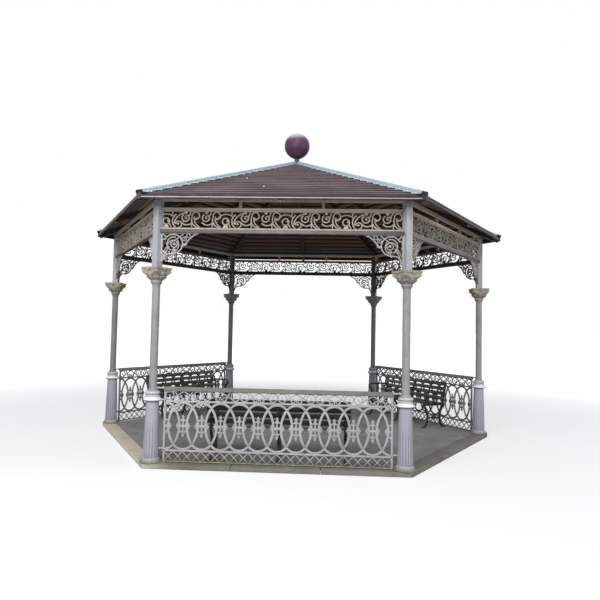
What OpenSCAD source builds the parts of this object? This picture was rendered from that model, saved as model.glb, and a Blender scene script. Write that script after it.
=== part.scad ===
// Hexagonal cast-iron park gazebo with a ribbed sheet roof, ball finial and garden benches.
// Millimetres, +Z up, the slab stands on Z = 0 and the front railing faces -Y.

/* [Plan] */
// Distance from the centre to each column axis
col_r = 3100; // [2000:50:4500]

/* [Floor] */
// Height of the floor slab above the ground
slab_t = 60; // [40:5:200]
// Width of the kerb strip round the slab
kerb_w = 200; // [120:10:350]
// Kerb reach outside the line of column axes
kerb_out = 125; // [125:5:200]

/* [Column pedestal] */
// Height of the flared pedestal
ped_h = 742; // [500:10:1000]
// Diameter of the foot ring
foot_d = 226; // [210:2:245]
// Height of the foot ring
foot_h = 42; // [20:2:80]
// Pedestal diameter above the foot ring
ped_low_d = 194; // [175:1:205]
// Pedestal diameter at its top
ped_top_d = 157; // [130:1:170]
// Number of flutes round the pedestal
flute_n = 16; // [12:1:18]
// Width of a flute at its foot
flute_w = 26; // [16:1:30]
// Depth of a flute
flute_depth = 6; // [2:0.5:8]
// Height where the flutes end
flute_top = 455; // [250:5:480]

/* [Column mouldings] */
// Diameter of the lower ring moulding
ring1_d = 224; // [190:1:230]
// Height of the lower ring moulding
ring1_h = 56; // [30:1:70]
// Diameter of the upper ring moulding
ring2_d = 184; // [150:1:200]
// Height of the upper ring moulding
ring2_h = 66; // [30:1:80]
// Height of the small sloped cap over the rings
cone_h = 26; // [10:1:50]

/* [Column shaft] */
// Shaft diameter at the bottom
shaft_d = 101; // [80:1:120]
// Shaft diameter at the top
shaft_top_d = 95; // [75:1:115]
// Diameter of the necking under the capital
neck_d = 140; // [125:1:150]
// Height of the necking
neck_h = 80; // [60:1:95]

/* [Capital] */
// Height of the column up to the top of its capital
cap_top = 2394; // [1900:10:3200]
// Height of the capital with its necking
cap_h = 239; // [200:5:320]
// Width of the square abacus
abacus_w = 290; // [240:5:330]
// Thickness of the abacus
abacus_t = 44; // [30:2:60]
// Hollow of each abacus side
abacus_dip = 16; // [4:1:24]
// Reach of the middle leaf tips from the axis
leaf_r = 124; // [110:2:134]
// Diameter of the corner scrolls
volute_d = 30; // [24:2:44]

/* [Upper post] */
// Width of the square post that stands on the capital
post_w = 90; // [70:2:120]

/* [Frieze] */
// Height of the frieze underside above the floor
frieze_z = 2832; // [2600:10:3400]
// Height of the bottom chord
fchord_h = 35; // [20:1:60]
// Depth of the bottom chord
fchord_d = 60; // [40:2:80]
// Height of the plain margins of a cast panel
margin_h = 32; // [15:1:45]
// Height of the open scroll band
band_h = 204; // [140:4:280]
// Height of the top chord
tchord_h = 26; // [20:1:60]
// Height of the upper margin of a cast panel
umargin_h = 18; // [10:1:30]
// Thickness of the cast panels
panel_t = 16; // [10:1:24]
// Number of cast panels on a side
panel_n = 4; // [3:1:6]
// Width of a scroll stroke
stroke = 14; // [10:0.5:18]

/* [Brackets] */
// Overall reach of a bracket along the chord
brk_l = 530; // [400:10:640]
// Overall drop of a bracket down the post
brk_h = 362; // [300:2:400]
// Thickness of the brackets
brk_t = 18; // [10:1:30]

/* [Railing] */
// Height of the handrail above the floor
rail_top = 918; // [880:2:1000]
// Height of the handrail
hand_h = 46; // [30:1:60]
// Depth of the handrail
hand_d = 52; // [36:1:70]
// Clear space between column axis and the end bar of a railing
rail_inset = 160; // [140:2:240]
// Width of the flat end bars
endbar_w = 22; // [14:1:40]
// Thickness of the cast railing
rail_t = 16; // [10:1:24]
// Height of the scroll band under the handrail
rscroll_h = 118; // [90:2:150]
// Height of the bars between the bands
bar_h = 20; // [12:1:30]
// Height of the diamond lattice at the foot
lattice_h = 118; // [80:2:160]
// Clearance of the railing above the floor
rail_gap = 8; // [4:1:30]
// Height of the foot bar
footbar_h = 10; // [8:1:20]
// Number of oval spacings in a railing
oval_n = 12; // [10:2:14]
// Width of an oval, over its middle line
oval_w = 372; // [340:4:400]
// Width of the bar that forms an oval
oval_bar = 26; // [16:1:30]
// Width of the lattice bars
lat_w = 9; // [6:0.5:14]
// Number of crosses in the lattice
lat_n = 24; // [16:2:30]
// Diameter of the spigots that tie a railing to the columns
spigot_d = 24; // [16:1:30]

/* [Benches] */
// Length of a bench
bench_l = 1800; // [1200:20:2200]
// Distance of the bench back from the railing line
bench_off = 130; // [110:5:400]
// Height of the seat
seat_z = 430; // [380:5:480]
// Depth of the seat
seat_d = 420; // [360:10:520]
// Width of a slat
slat_w = 62; // [50:1:80]
// Thickness of a slat
slat_t = 18; // [12:1:30]
// Gap between slats
slat_gap = 22; // [10:1:26]
// Number of slats in the back
back_n = 4; // [3:1:5]
// Lean of the back in degrees
back_lean = 12; // [4:1:20]
// Thickness of the cast bench frames
bframe_t = 28; // [16:1:50]
// Width of the bars in a bench frame
bframe_w = 34; // [24:1:44]

/* [Roof frame] */
// Height of the short studs between frieze and ring beam
stud_h = 86; // [40:1:200]
// Width of the studs
stud_w = 34; // [20:1:50]
// Height of the ring beam
beam_h = 44; // [36:1:120]
// Depth of the ring beam
beam_w = 36; // [34:2:100]
// Depth of the rafters
rafter_d = 80; // [50:1:140]
// Width of the rafters
rafter_w = 50; // [34:1:80]
// Diameter of the hub where the rafters meet
hub_d = 240; // [200:5:320]

/* [Roof skin] */
// Roof pitch in degrees
pitch = 22.67; // [18:0.01:30]
// Overhang of the eaves outside the column line
overhang = 300; // [200:10:420]
// Thickness of the ribbed sheet
sheet_t = 5; // [3:0.5:8]
// Height of the ribs
rib_h = 20; // [12:1:36]
// Spacing of the ribs up the slope
rib_pitch = 150; // [110:5:320]
// Width of a rib at its foot
rib_w = 44; // [40:2:90]
// Share of a rib's width that its flat crest takes
rib_flat = 0.45; // [0.3:0.05:0.7]
// Height of the fascia under the eaves
fascia_h = 45; // [30:1:120]
// Thickness of the fascia
fascia_t = 18; // [8:1:40]
// Width of a hip flashing to each side of the hip
cap_w = 85; // [50:5:140]
// Thickness of the hip flashings
flash_t = 4; // [2:0.5:8]
// Diameter of the roll along each hip
roll_d = 44; // [36:2:64]
// Depth of the folded corner at the end of a hip
nose_h = 50; // [40:2:140]
// Length of the folded corner along each eave
nose_w = 46; // [36:2:110]

/* [Finial] */
// Diameter of the finial neck
fneck_d = 84; // [70:2:130]
// Diameter of the ring at the foot of the neck
collar_d = 116; // [104:2:180]
// Height of the ball centre above the point of the roof
ball_z = 318; // [290:2:500]
// Diameter of the ball
ball_d = 432; // [300:2:520]

/* [Hidden] */
$fn = 64;
eps = 0.2;
col_a = col_r*cos(30);
side_l = col_r;
slab_r = (col_a + kerb_out)/cos(30);
tanp = tan(pitch);
cosp = cos(pitch);
// heights from the ground
cap_z = slab_t + cap_top;
frz = slab_t + frieze_z;
panel_h = margin_h + band_h + umargin_h;
frieze_h = fchord_h + panel_h + tchord_h;
beam_z = frz + frieze_h + stud_h;
beam_top = beam_z + beam_h;
rafter_v = rafter_d/cosp;
eave_z = beam_top + rafter_v - (overhang - beam_w/2)*tanp;
eave_a = col_a + overhang;
eave_r = eave_a/cos(30);
apex_z = eave_z + eave_a*tanp;
hip_tan = tanp*cos(30);
hip_ang = atan(hip_tan);
hip_drop = rafter_w/2*sin(30)*tanp;
hip_d = (eave_z + (eave_r - (col_a + beam_w/2)/cos(30))*hip_tan - hip_drop - beam_top)*cos(hip_ang);
slope_l = eave_a/cosp;
rib_crest = rib_w*rib_flat;
nose_a = eave_a + 2.5;
nose_r = (nose_a + flash_t)/cos(30);
roll_r0 = max(fneck_d/2 + 22, roll_d*1.2, collar_d/2 + 6);
post_x = post_w/2/cos(30);
clear_l = side_l - 2*post_x;
pan_l = clear_l/panel_n;
fs = band_h/204;
fx = pan_l/745;
rail_l = side_l - 2*rail_inset;
rail_z0 = slab_t + rail_gap;
rail_z1 = slab_t + rail_top - hand_h;
oval_z0 = rail_z0 + footbar_h + lattice_h + bar_h;
oval_z1 = rail_z1 - rscroll_h - bar_h;
oval_p = rail_l/oval_n;
// four-arc oval: end radius and side radius
ova = (oval_z1 - oval_z0 - oval_bar)/2 + 6;
ovb = oval_w/2;
ov_r1 = ovb*0.76;
ov_r2 = (ovb*ovb + (ova - ov_r1)*(ova - ov_r1) - ov_r1*ov_r1)/(2*(ovb - ov_r1));
ov_t = atan((ova - ov_r1)/(ov_r2 - ovb));
ring_top = ped_h + ring1_h + ring2_h;
shaft_z = ring_top + cone_h;
cap_z0 = cap_top - cap_h;
bell_z = cap_z0 + neck_h;
bell_h = cap_top - abacus_t - bell_z;

// ---------- placing ----------
module at_col(a) {
  rotate([0, 0, a]) translate([col_r, 0, 0]) children();
}

module at_side(a) {
  rotate([0, 0, a + 90]) translate([0, -col_a, 0]) children();
}

// stands a flat drawing up in the plane of a side, centred on that plane
module upright(t) {
  translate([0, t/2, 0]) rotate([90, 0, 0]) linear_extrude(t) children();
}

module hexagon(a) {
  rotate(0) circle(a/cos(30), $fn = 6);
}

// ---------- flat strokes ----------
function pt(x, y, r, a) = [x + r*cos(a), y + r*sin(a)];

module arc2(x, y, r, a0, a1, w) {
  n = ceil(abs(a1 - a0)/60);
  intersection() {
    translate([x, y]) difference() {
      circle(r + w/2);
      circle(r - w/2);
    }
    polygon(concat([[x, y]], [for (i = [0:n]) pt(x, y, 2*r + w, a0 + (a1 - a0)*i/n)]));
  }
}

module ring2(x, y, r, w) {
  translate([x, y]) difference() {
    circle(r + w/2);
    circle(r - w/2);
  }
}

module dot2(x, y, r) {
  translate([x, y]) circle(r);
}

module bar2(x0, y0, x1, y1, w) {
  l = sqrt((x1 - x0)*(x1 - x0) + (y1 - y0)*(y1 - y0));
  translate([x0, y0]) rotate(atan2(y1 - y0, x1 - x0)) translate([0, -w/2]) square([l, w]);
}

// ---------- floor ----------
module floor_slab() {
  color("gray") linear_extrude(slab_t) hexagon(col_a + kerb_out - kerb_w);
}

module kerb() {
  color("tan") for (k = [0:5]) rotate([0, 0, 60*k + 30]) linear_extrude(slab_t) {
    h0 = col_a + kerb_out - kerb_w + eps;
    h1 = col_a + kerb_out;
    polygon([[h0, -h0*tan(30) + eps/2], [h1, -h1*tan(30) + eps/2],
      [h1, h1*tan(30) - eps/2], [h0, h0*tan(30) - eps/2]]);
  }
}

// ---------- columns ----------
module ped_profile() {
  square([foot_d/2, foot_h]);
  polygon([[0, 0], [ped_low_d/2 + 8, foot_h - 1], [ped_low_d/2, foot_h + 14],
    [ped_top_d/2, ped_h], [0, ped_h]]);
  // lower ring: flat fillet and a half round
  translate([0, ped_h - 1]) square([ring1_d/2 - ring1_h/3, ring1_h + 1]);
  translate([ring1_d/2 - ring1_h/3, ped_h + ring1_h/3]) circle(ring1_h/3);
  translate([0, ped_h]) square([ring1_d/2 - ring1_h/3, ring1_h*2/3]);
  // upper ring
  translate([0, ped_h + ring1_h - 1]) square([ring2_d/2 - ring2_h/3, ring2_h + 1]);
  translate([ring2_d/2 - ring2_h/3, ring_top - ring2_h/3]) circle(ring2_h/3);
  translate([0, ped_h + ring1_h]) square([ring2_d/2 - 8, ring2_h/2]);
  polygon([[0, ring_top - 1], [ring2_d/2 - ring2_h/3, ring_top - 1], [ring2_d/2 - ring2_h/3, ring_top],
    [shaft_d/2 + 6, shaft_z - 4], [shaft_d/2 + 4, shaft_z], [0, shaft_z]]);
}

module flutes() {
  // shallow grooves that follow the taper and run out near their top
  r0 = ped_low_d/2;
  r1 = ped_top_d/2;
  tilt = atan((r0 - r1)/(ped_h - foot_h));
  fade = atan(flute_depth/flute_top);
  for (k = [0:flute_n - 1]) rotate([0, 0, 360/flute_n*(k + 0.5)])
    translate([r0 - flute_depth, 0, foot_h + 14]) rotate([0, fade - tilt, 0])
      linear_extrude(flute_top + 40)
        polygon([[0, 0], [40, -20*flute_w/flute_depth], [40, 20*flute_w/flute_depth]]);
}

module pedestal() {
  difference() {
    rotate_extrude() ped_profile();
    flutes();
  }
}

module shaft() {
  translate([0, 0, shaft_z - 2]) cylinder(h = cap_z0 - shaft_z + 4, r1 = shaft_d/2, r2 = shaft_top_d/2);
}

// outline of the bell, a hollow curve from the necking out to the abacus
module neck_profile() {
  rs = shaft_top_d/2;
  rn = neck_d/2;
  polygon([[0, 0], [rs + 1, 0], [rs + 1, neck_h*0.24], [rn - 3, neck_h*0.58], [rn, neck_h*0.62],
    [rn, neck_h*0.96], [rn - 4, neck_h], [0, neck_h]]);
  translate([rs - 5, neck_h*0.12]) circle(neck_h*0.12);
}

// lower tier of leaves, bent out over the necking
module low_leaf_profile() {
  h = bell_h*0.42;
  polygon([[0, 0], [neck_d/2 - 4, 0], [leaf_r - 9, h*0.72], [leaf_r - 4, h*0.8], [leaf_r - 4, h*0.95],
    [leaf_r*0.82, h*1.02], [0, h*1.3]]);
  translate([leaf_r - 7, h*0.86]) circle(7);
}

// the spreading body, as far out as the corners of the abacus
module bell_profile() {
  polygon([[0, 0], [neck_d/2 - 6, 0], [leaf_r*0.84, bell_h*0.42], [abacus_w*0.47, bell_h*0.66],
    [abacus_w*0.55, bell_h*0.81], [abacus_w*0.63, bell_h*0.88], [abacus_w*0.63, bell_h + 1], [0, bell_h + 1]]);
}

// a cast leaf: a slice of a turned leaf that curls out at its tip
module leaf(a, w, z0, h, r0, r1, t) {
  rotate([0, 0, a - w/2]) rotate_extrude(angle = w) {
    intersection() {
      translate([r1, z0]) difference() {
        circle(h);
        circle(h - t);
      }
      translate([r0 - 10, z0]) square([r1 - r0 + 10, h]);
    }
    translate([r1, z0 + h - t*0.8]) circle(t*0.8);
  }
}

module abacus2() {
  cr = (abacus_w*abacus_w/4 + abacus_dip*abacus_dip)/(2*abacus_dip);
  intersection() {
    difference() {
      square(abacus_w, center = true);
      for (k = [0:3]) rotate(90*k) translate([abacus_w/2 - abacus_dip + cr, 0]) circle(cr);
    }
    circle(abacus_w/2*1.3);
  }
}

module capital() {
  translate([0, 0, cap_z0]) rotate_extrude() neck_profile();
  for (k = [0:7]) rotate([0, 0, 45*k - 18]) translate([0, 0, bell_z - 1])
    rotate_extrude(angle = 36) low_leaf_profile();
  translate([0, 0, bell_z - 1]) intersection() {
    rotate_extrude() bell_profile();
    linear_extrude(bell_h + 2) scale(0.95) abacus2();
  }
  for (k = [0:3]) rotate([0, 0, 90*k]) {
    leaf(0, 40, bell_z + bell_h*0.24, bell_h*0.66, shaft_top_d/2, leaf_r - 6, 13);
    translate([abacus_w/2 - abacus_dip - 2, 0, cap_top - abacus_t*0.5]) sphere(d = abacus_t*0.75);
    rotate([0, 0, 45]) translate([abacus_w/2 + 16, 16, cap_top - abacus_t - volute_d/2 + 4])
      rotate([90, 0, 0]) cylinder(h = 32, d = volute_d);
  }
  translate([0, 0, cap_top - abacus_t]) linear_extrude(abacus_t*0.45) scale(0.93) abacus2();
  translate([0, 0, cap_top - abacus_t*0.6]) linear_extrude(abacus_t*0.6) abacus2();
}

module column(a) {
  color("lavender") translate([0, 0, slab_t]) at_col(a) {
    pedestal();
    shaft();
    capital();
  }
}

module upper_posts() {
  color("lavender") for (k = [0:5]) at_col(60*k) translate([-post_w/2, -post_w/2, cap_z])
    cube([post_w, post_w, beam_z - cap_z]);
}

// ---------- frieze ----------
function xx(v) = v*fx;

// open ring on its mound, with a tail, under an arch
module ring_group() {
  w = stroke;
  ring2(0, 82*fs, 41*fs, w);
  dot2(0, 10*fs, 30*fs);
  dot2(24*fs, 87*fs, 13*fs);
  bar2(34*fs, 60*fs, 66*fs, -4*fs, w*0.85);
  arc2(5*fs, 60*fs, 114*fs, 40, 148, w);
  bar2(74*fs, 148*fs, 84*fs, 210*fs, w);
}

// leaf fanned out of the lower margin, with a curl in its foot
module fan_leaf() {
  w = stroke;
  arc2(0, 85*fs, 98*fs, 126, 238, w);
  dot2(-57*fs, 164*fs, 10*fs);
  arc2(75*fs, 38*fs, 149*fs, 96, 172, w);
  dot2(-71*fs, 60*fs, 10*fs);
  arc2(-20*fs, 44*fs, 39*fs, -90, 172, w*0.9);
  dot2(-25*fs, 50*fs, 13*fs);
  bar2(-25*fs, 50*fs, -60*fs, 50*fs, w*0.7);
  bar2(49*fs, 180*fs, 65*fs, 210*fs, w);
}

// turn of scroll with its eye, over a bowl
module scroll_turn() {
  w = stroke;
  arc2(0, 125*fs, 45*fs, 128, 405, w);
  dot2(-28*fs, 160*fs, 10*fs);
  arc2(21*fs, 130*fs, 23*fs, -30, 215, w*0.8);
  dot2(7*fs, 122*fs, 11*fs);
  bar2(44*fs, 138*fs, 72*fs, 210*fs, w*0.9);
  dot2(6*fs, 192*fs, 18*fs);
  arc2(18*fs, 118*fs, 84*fs, 224, 320, w);
  dot2(-42*fs, 60*fs, 10*fs);
  bar2(79*fs, 62*fs, 82*fs, -4*fs, w);
}

// looped stem with a double foot
module stem_turn() {
  w = stroke;
  arc2(0, 153*fs, 46*fs, -80, 200, w);
  dot2(2*fs, 112*fs, 13*fs);
  arc2(50*fs, 104*fs, 103*fs, 152, 275, w);
  arc2(96*fs, 118*fs, 116*fs, 168, 246, w*0.85);
  bar2(2*fs, 112*fs, -18*fs, 128*fs, w*0.8);
}

// one cast panel of running scrollwork, placed from the ring at its left
module scroll_panel() {
  ring_group();
  translate([xx(175), 0]) fan_leaf();
  for (s = [240, 497]) translate([xx(s), 0]) scroll_turn();
  for (s = [370, 633]) translate([xx(s), 0]) stem_turn();
}

module frieze(a) {
  at_side(a) difference() {
    union() {
      color("beige") translate([0, 0, frz + fchord_h]) upright(panel_t) {
        intersection() {
          for (i = [0:panel_n - 1])
            translate([-clear_l/2 + i*pan_l + xx(50), margin_h]) scroll_panel();
          translate([-side_l/2, margin_h - 2]) square([side_l, band_h + 4]);
        }
        translate([-side_l/2, 0]) square([side_l, margin_h]);
        translate([-side_l/2, margin_h + band_h]) square([side_l, umargin_h]);
      }
    }
    post_gaps();
  }
  at_side(a) color("gainsboro") {
    difference() {
      translate([-side_l/2, -fchord_d/2, frz]) cube([side_l, fchord_d, fchord_h]);
      post_gaps();
    }
    difference() {
      translate([-side_l/2, -fchord_d/2, frz + fchord_h + panel_h]) cube([side_l, fchord_d, tchord_h]);
      post_gaps();
    }
  }
}

// room for the posts at the two ends of a side
module post_gaps() {
  for (m = [-1, 1]) translate([m*side_l/2, 0, cap_z]) rotate([0, 0, m*30])
    translate([-post_w/2 - eps, -post_w/2 - eps, -1]) cube([post_w + 2*eps, post_w + 2*eps, 2000]);
}

// ---------- brackets ----------
// drawn with the post axis at x = 0 and the chord underside at y = 0
module bracket_flat() {
  intersection() {
    bracket_scrolls();
    translate([0, -brk_h]) square([brk_l + post_x, brk_h]);
  }
}

module bracket_scrolls() {
  w = 15;
  s = brk_h/362;
  translate([post_x, 0]) {
    // flanges on the chord and on the post
    translate([-post_x + 20, -10]) square([brk_l - 40, 10]);
    translate([-post_x + 20, -brk_h]) square([post_x - 20 + 8, brk_h]);
    // swept lower edge from the tip to the knob
    arc2(560*s, -262*s, 280*s, 108, 151, w);
    dot2(314*s, -122*s, 13*s);
    dot2(301*s, -145*s, 15*s);
    dot2(283*s, -151*s, 13*s);
    dot2(268*s, -146*s, 12*s);
    // great scroll
    arc2(145*s, -138*s, 119*s, -100, 150, w);
    dot2(42*s, -78*s, 12*s);
    arc2(152*s, -138*s, 86*s, 80, 238, w*0.9);
    dot2(168*s, -54*s, 10*s);
    dot2(107*s, -211*s, 10*s);
    arc2(96*s, -128*s, 90*s, 140, 215, w*0.8);
    arc2(120*s, -150*s, 97*s, -56, 48, w*0.8);
    dot2(174*s, -230*s, 10*s);
    // eye of the scroll
    ring2(158*s, -141*s, 42*s, w*0.85);
    dot2(158*s, -138*s, 17*s);
    bar2(158*s, -138*s, 196*s, -160*s, w*0.7);
    arc2(150*s, -172*s, 80*s, 78, 200, w*0.8);
    bar2(272*s, -14*s, 166*s, -94*s, w*0.9);
    bar2(158*s, -180*s, 152*s, -250*s, w*0.8);
    dot2(171*s, -212*s, 12*s);
    dot2(140*s, -212*s, 12*s);
    // foot curve on the post, with its cusp
    arc2(113*s, -360*s, 100*s, 72, 186, w);
    dot2(141*s, -264*s, 13*s);
    bar2(92*s, -176*s, 6*s, -336*s, w*0.8);
    bar2(56*s, -190*s, 2*s, -290*s, w*0.7);
    dot2(56*s, -190*s, 9*s);
    dot2(93*s, -176*s, 10*s);
    // leaf in the corner and small rings near the tip
    bar2(56*s, -56*s, 2*s, -4*s, w);
    ring2(334*s, -34*s, 22*s, w*0.65);
    ring2(286*s, -74*s, 25*s, w*0.65);
    dot2(286*s, -74*s, 8*s);
    bar2(286*s, -70*s, 312*s, -50*s, w*0.7);
    bar2(268*s, -88*s, 250*s, -96*s, w*0.7);
    bar2(306*s, -90*s, 330*s, -100*s, w*0.7);
    bar2(352*s, -20*s, 362*s, -4*s, w*0.7);
  }
}

module bracket_pair(a) {
  color("beige") at_side(a) difference() {
    for (m = [0, 1]) mirror([m, 0, 0]) translate([-side_l/2, 0, frz]) upright(brk_t) bracket_flat();
    post_gaps();
  }
}

// ---------- railings ----------
module oval2() {
  for (m = [0, 180]) rotate(m) {
    arc2(0, ova - ov_r1, ov_r1, ov_t - 2, 182 - ov_t, oval_bar);
    arc2(ovb - ov_r2, 0, ov_r2, -ov_t - 1, ov_t + 1, oval_bar);
  }
}

// cast knot that ties two neighbouring ovals together
module knot2() {
  g = oval_p - ovb;
  for (m = [0, 1]) mirror([0, m]) {
    dot2(0, 108, 16);
    dot2(0, 127, 10);
    bar2(-g, 68, g, 68, 14);
    for (n = [-1, 1]) dot2(n*15, 80, 9);
  }
  bar2(0, -112, 0, 112, 17);
  // ribbon with three-lobed ends
  bar2(-70, 0, 70, 0, 30);
  for (m = [-1, 1]) {
    dot2(m*76, 0, 14);
    bar2(m*40, 8, m*66, 26, 20);
    bar2(m*40, -8, m*66, -26, 20);
    dot2(m*67, 26, 11);
    dot2(m*67, -26, 11);
  }
}

// one heart of scrolls under the handrail, centred on x = 0
module heart2() {
  h = rscroll_h;
  p = oval_p;
  w = 12;
  for (m = [0, 1]) mirror([m, 0]) {
    arc2(p*0.755, h*0.5, h*0.44, -130, 172, w);
    arc2(p*0.755 - h*0.21, h*0.5, h*0.23, 165, 372, w*0.85);
    dot2(p*0.755 + h*0.01, h*0.53, 9);
    bar2(p*0.63, h*0.17, 0, h*0.96, w);
    bar2(p*0.5, h*1.01, p*0.19, h*0.04, w*0.9);
    ring2(p*0.19, h*0.23, h*0.2, w*0.8);
  }
  dot2(0, h*0.2, 10);
  bar2(0, -4, 0, h*0.2, 10);
  dot2(0, h*0.95, 12);
}

module railing_flat() {
  hl = rail_l/2;
  zl = rail_z0 + footbar_h;
  intersection() {
    union() {
      // ovals, knots and scrolls
      for (i = [0:oval_n]) translate([-hl + i*oval_p, (oval_z0 + oval_z1)/2]) {
        oval2();
        knot2();
      }
      for (i = [0:oval_n/2 - 1]) translate([-hl + (2*i + 1)*oval_p, oval_z1 + bar_h]) heart2();
    }
    translate([-hl - endbar_w/2, oval_z0 - 4]) square([rail_l + endbar_w, rail_z1 - oval_z0 + 8]);
  }
  // diamond lattice
  for (i = [0:lat_n - 1]) translate([-hl + i*rail_l/lat_n, zl]) {
    bar2(0, -2, rail_l/lat_n, lattice_h + 2, lat_w);
    bar2(rail_l/lat_n, -2, 0, lattice_h + 2, lat_w);
  }
  // bars
  translate([-hl, rail_z0]) square([rail_l, footbar_h]);
  translate([-hl, zl + lattice_h]) square([rail_l, bar_h]);
  translate([-hl, oval_z1]) square([rail_l, bar_h]);
  translate([-hl, rail_z1 - 6]) square([rail_l, 6]);
  for (m = [-1, 1]) translate([m*hl - endbar_w/2, slab_t]) square([endbar_w, rail_z1 - slab_t]);
}

module railing(a) {
  hl = rail_l/2;
  at_side(a) {
    color("lavender") difference() {
      union() {
        upright(rail_t) railing_flat();
        // spigots to the pedestal and to the lower ring
        for (m = [-1, 1], z = [slab_t + 170, slab_t + ped_h + ring1_h/3])
          translate([m*side_l/2, 0, z]) rotate([0, -m*90, 0]) cylinder(h = rail_inset, d = spigot_d);
      }
      for (m = [-1, 1]) translate([m*side_l/2, 0, slab_t]) column_room();
    }
    color("lavender") difference() {
      union() {
        translate([-hl - endbar_w/2, -hand_d/2, rail_z1]) cube([2*hl + endbar_w, hand_d, hand_h*0.7]);
        translate([-hl - endbar_w/2, -hand_d/2 + 5, rail_z1]) cube([2*hl + endbar_w, hand_d - 10, hand_h]);
        translate([-side_l/2, -9, slab_t + rail_top - 22]) cube([side_l, 18, 18]);
      }
      for (m = [-1, 1]) translate([m*side_l/2, 0, slab_t]) column_room();
    }
  }
}

// the space a column takes up, with its clearance
module column_room() {
  rotate_extrude() {
    polygon([[0, 0], [ped_low_d/2 + eps, foot_h + 14], [ped_top_d/2 + eps, ped_h + 1], [0, ped_h + 1]]);
    translate([0, ped_h]) square([ring1_d/2 + eps, ring1_h*2/3]);
    translate([0, shaft_z]) square([shaft_d/2 + eps, 200]);
  }
}

// ---------- benches ----------
// side outline of a cast bench frame: y to the left is the back, drawn from the floor
module bframe2() {
  intersection() {
    bframe_bars();
    translate([-200, 0]) square([seat_d + 400, 1200]);
  }
}

module bframe_bars() {
  w = bframe_w;
  bl = back_n*(slat_w + slat_gap);
  zs = seat_z - slat_t;
  lr = zs*0.62;
  la = asin((zs - w)/2/lr) + 3;
  // seat rail and the leaning back upright
  translate([-30, zs - w]) square([seat_d + 40, w]);
  translate([0, zs - w]) rotate(back_lean) square([w, bl + w + slat_gap]);
  // legs curved like a pair of brackets, with feet and a tie between them
  arc2(70 - lr, (zs - w)/2, lr, -la, la, w);
  arc2(seat_d - 90 + lr, (zs - w)/2, lr, 180 - la, 180 + la, w);
  translate([-60, 0]) square([80, 18]);
  translate([seat_d - 40, 0]) square([80, 18]);
  bar2(60, zs*0.42, seat_d - 80, zs*0.42, w*0.6);
  ring2(seat_d/2 - 10, zs*0.42, w, w*0.5);
  // arm rest and its scroll
  bar2(-30, zs + 190, seat_d - 60, zs + 200, w*0.8);
  arc2(seat_d - 62, zs + 150, 50, -100, 92, w*0.8);
  bar2(seat_d - 66, zs + 104, seat_d - 74, zs - 6, w*0.8);
}

module bench_frame_set(a) {
  at_side(a) for (x = [-bench_l/2 + 60, 0, bench_l/2 - 60])
    translate([x - bframe_t/2, bench_off + 20, slab_t])
      rotate([90, 0, 90]) linear_extrude(bframe_t) bframe2();
}

module bench_frames() {
  color("darkgreen") {
    bench_frame_set(-90);
    bench_frame_set(30);
    bench_frame_set(150);
  }
}

module bench_slats(a) {
  n = floor((seat_d + slat_gap)/(slat_w + slat_gap));
  step = (seat_d - slat_w - 10)/(n - 1);
  zs = seat_z - slat_t;
  color("green") at_side(a) translate([-bench_l/2, bench_off + 20, slab_t]) {
    for (i = [0:n - 1]) translate([0, 10 + bframe_w + i*(step - bframe_w/(n - 1)), zs])
      cube([bench_l, slat_w, slat_t]);
    translate([0, 0, zs - bframe_w]) rotate([back_lean, 0, 0])
      for (i = [0:back_n - 1])
        translate([0, bframe_w, bframe_w + slat_gap + 26 + i*(slat_w + slat_gap)])
          cube([bench_l, slat_t, slat_w]);
  }
}

// ---------- roof frame ----------
module eave_studs() {
  color("gainsboro") for (k = [0:5]) at_side(60*k + 30) for (m = [-1, 1])
    translate([m*side_l/6 - stud_w/2, -stud_w/2, beam_z - stud_h]) cube([stud_w, stud_w, stud_h]);
}

module ring_beam() {
  color("gainsboro") for (k = [0:5]) rotate([0, 0, 60*k + 30]) translate([0, 0, beam_z])
    linear_extrude(beam_h) {
      h0 = col_a - beam_w/2;
      h1 = col_a + beam_w/2;
      polygon([[h0, -h0*tan(30) + eps/2], [h1, -h1*tan(30) + eps/2],
        [h1, h1*tan(30) - eps/2], [h0, h0*tan(30) - eps/2]]);
    }
}

// upright plank under the roof plane, cut plumb at both ends
module rafter(r0, r1, z_at_r1, tn, d, w) {
  dv = d*sqrt(1 + tn*tn);
  rotate([90, 0, 0]) translate([0, 0, -w/2]) linear_extrude(w)
    polygon([[r0, z_at_r1 + (r1 - r0)*tn], [r1, z_at_r1], [r1, z_at_r1 - dv],
      [r0, z_at_r1 + (r1 - r0)*tn - dv]]);
}

module hip_rafters() {
  color("saddlebrown") difference() {
    for (k = [0:5]) rotate([0, 0, 60*k])
      rafter(40, eave_r - (fascia_t + 4)/cos(30) - rafter_w/2*tan(30),
        eave_z - hip_drop + ((fascia_t + 4)/cos(30) + rafter_w/2*tan(30))*hip_tan, hip_tan, hip_d, rafter_w);
    cylinder(h = apex_z + 500, d = hub_d + 2*eps);
  }
}

module mid_rafters() {
  color("saddlebrown") difference() {
    for (k = [0:5]) rotate([0, 0, 60*k + 30])
      rafter(60, eave_a - fascia_t - eps, eave_z + (fascia_t + eps)*tanp, tanp, rafter_d, rafter_w);
    cylinder(h = apex_z + 500, d = hub_d + 2*eps);
  }
}

module apex_hub() {
  hz = apex_z - hub_d/2*tanp - hip_drop;
  color("saddlebrown") translate([0, 0, hz - rafter_v - 40]) cylinder(h = rafter_v + 40, d = hub_d);
}

// ---------- roof skin ----------
// section of the ribbed sheet, measured up the slope from the eave
function rib_pts(u, v) = [
  [u - rib_w/2, v], [u - rib_crest/2, v + rib_h], [u + rib_crest/2, v + rib_h], [u + rib_w/2, v]];
rib_us = [for (u = [rib_pitch*0.4:rib_pitch:slope_l - rib_w]) u];

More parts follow.
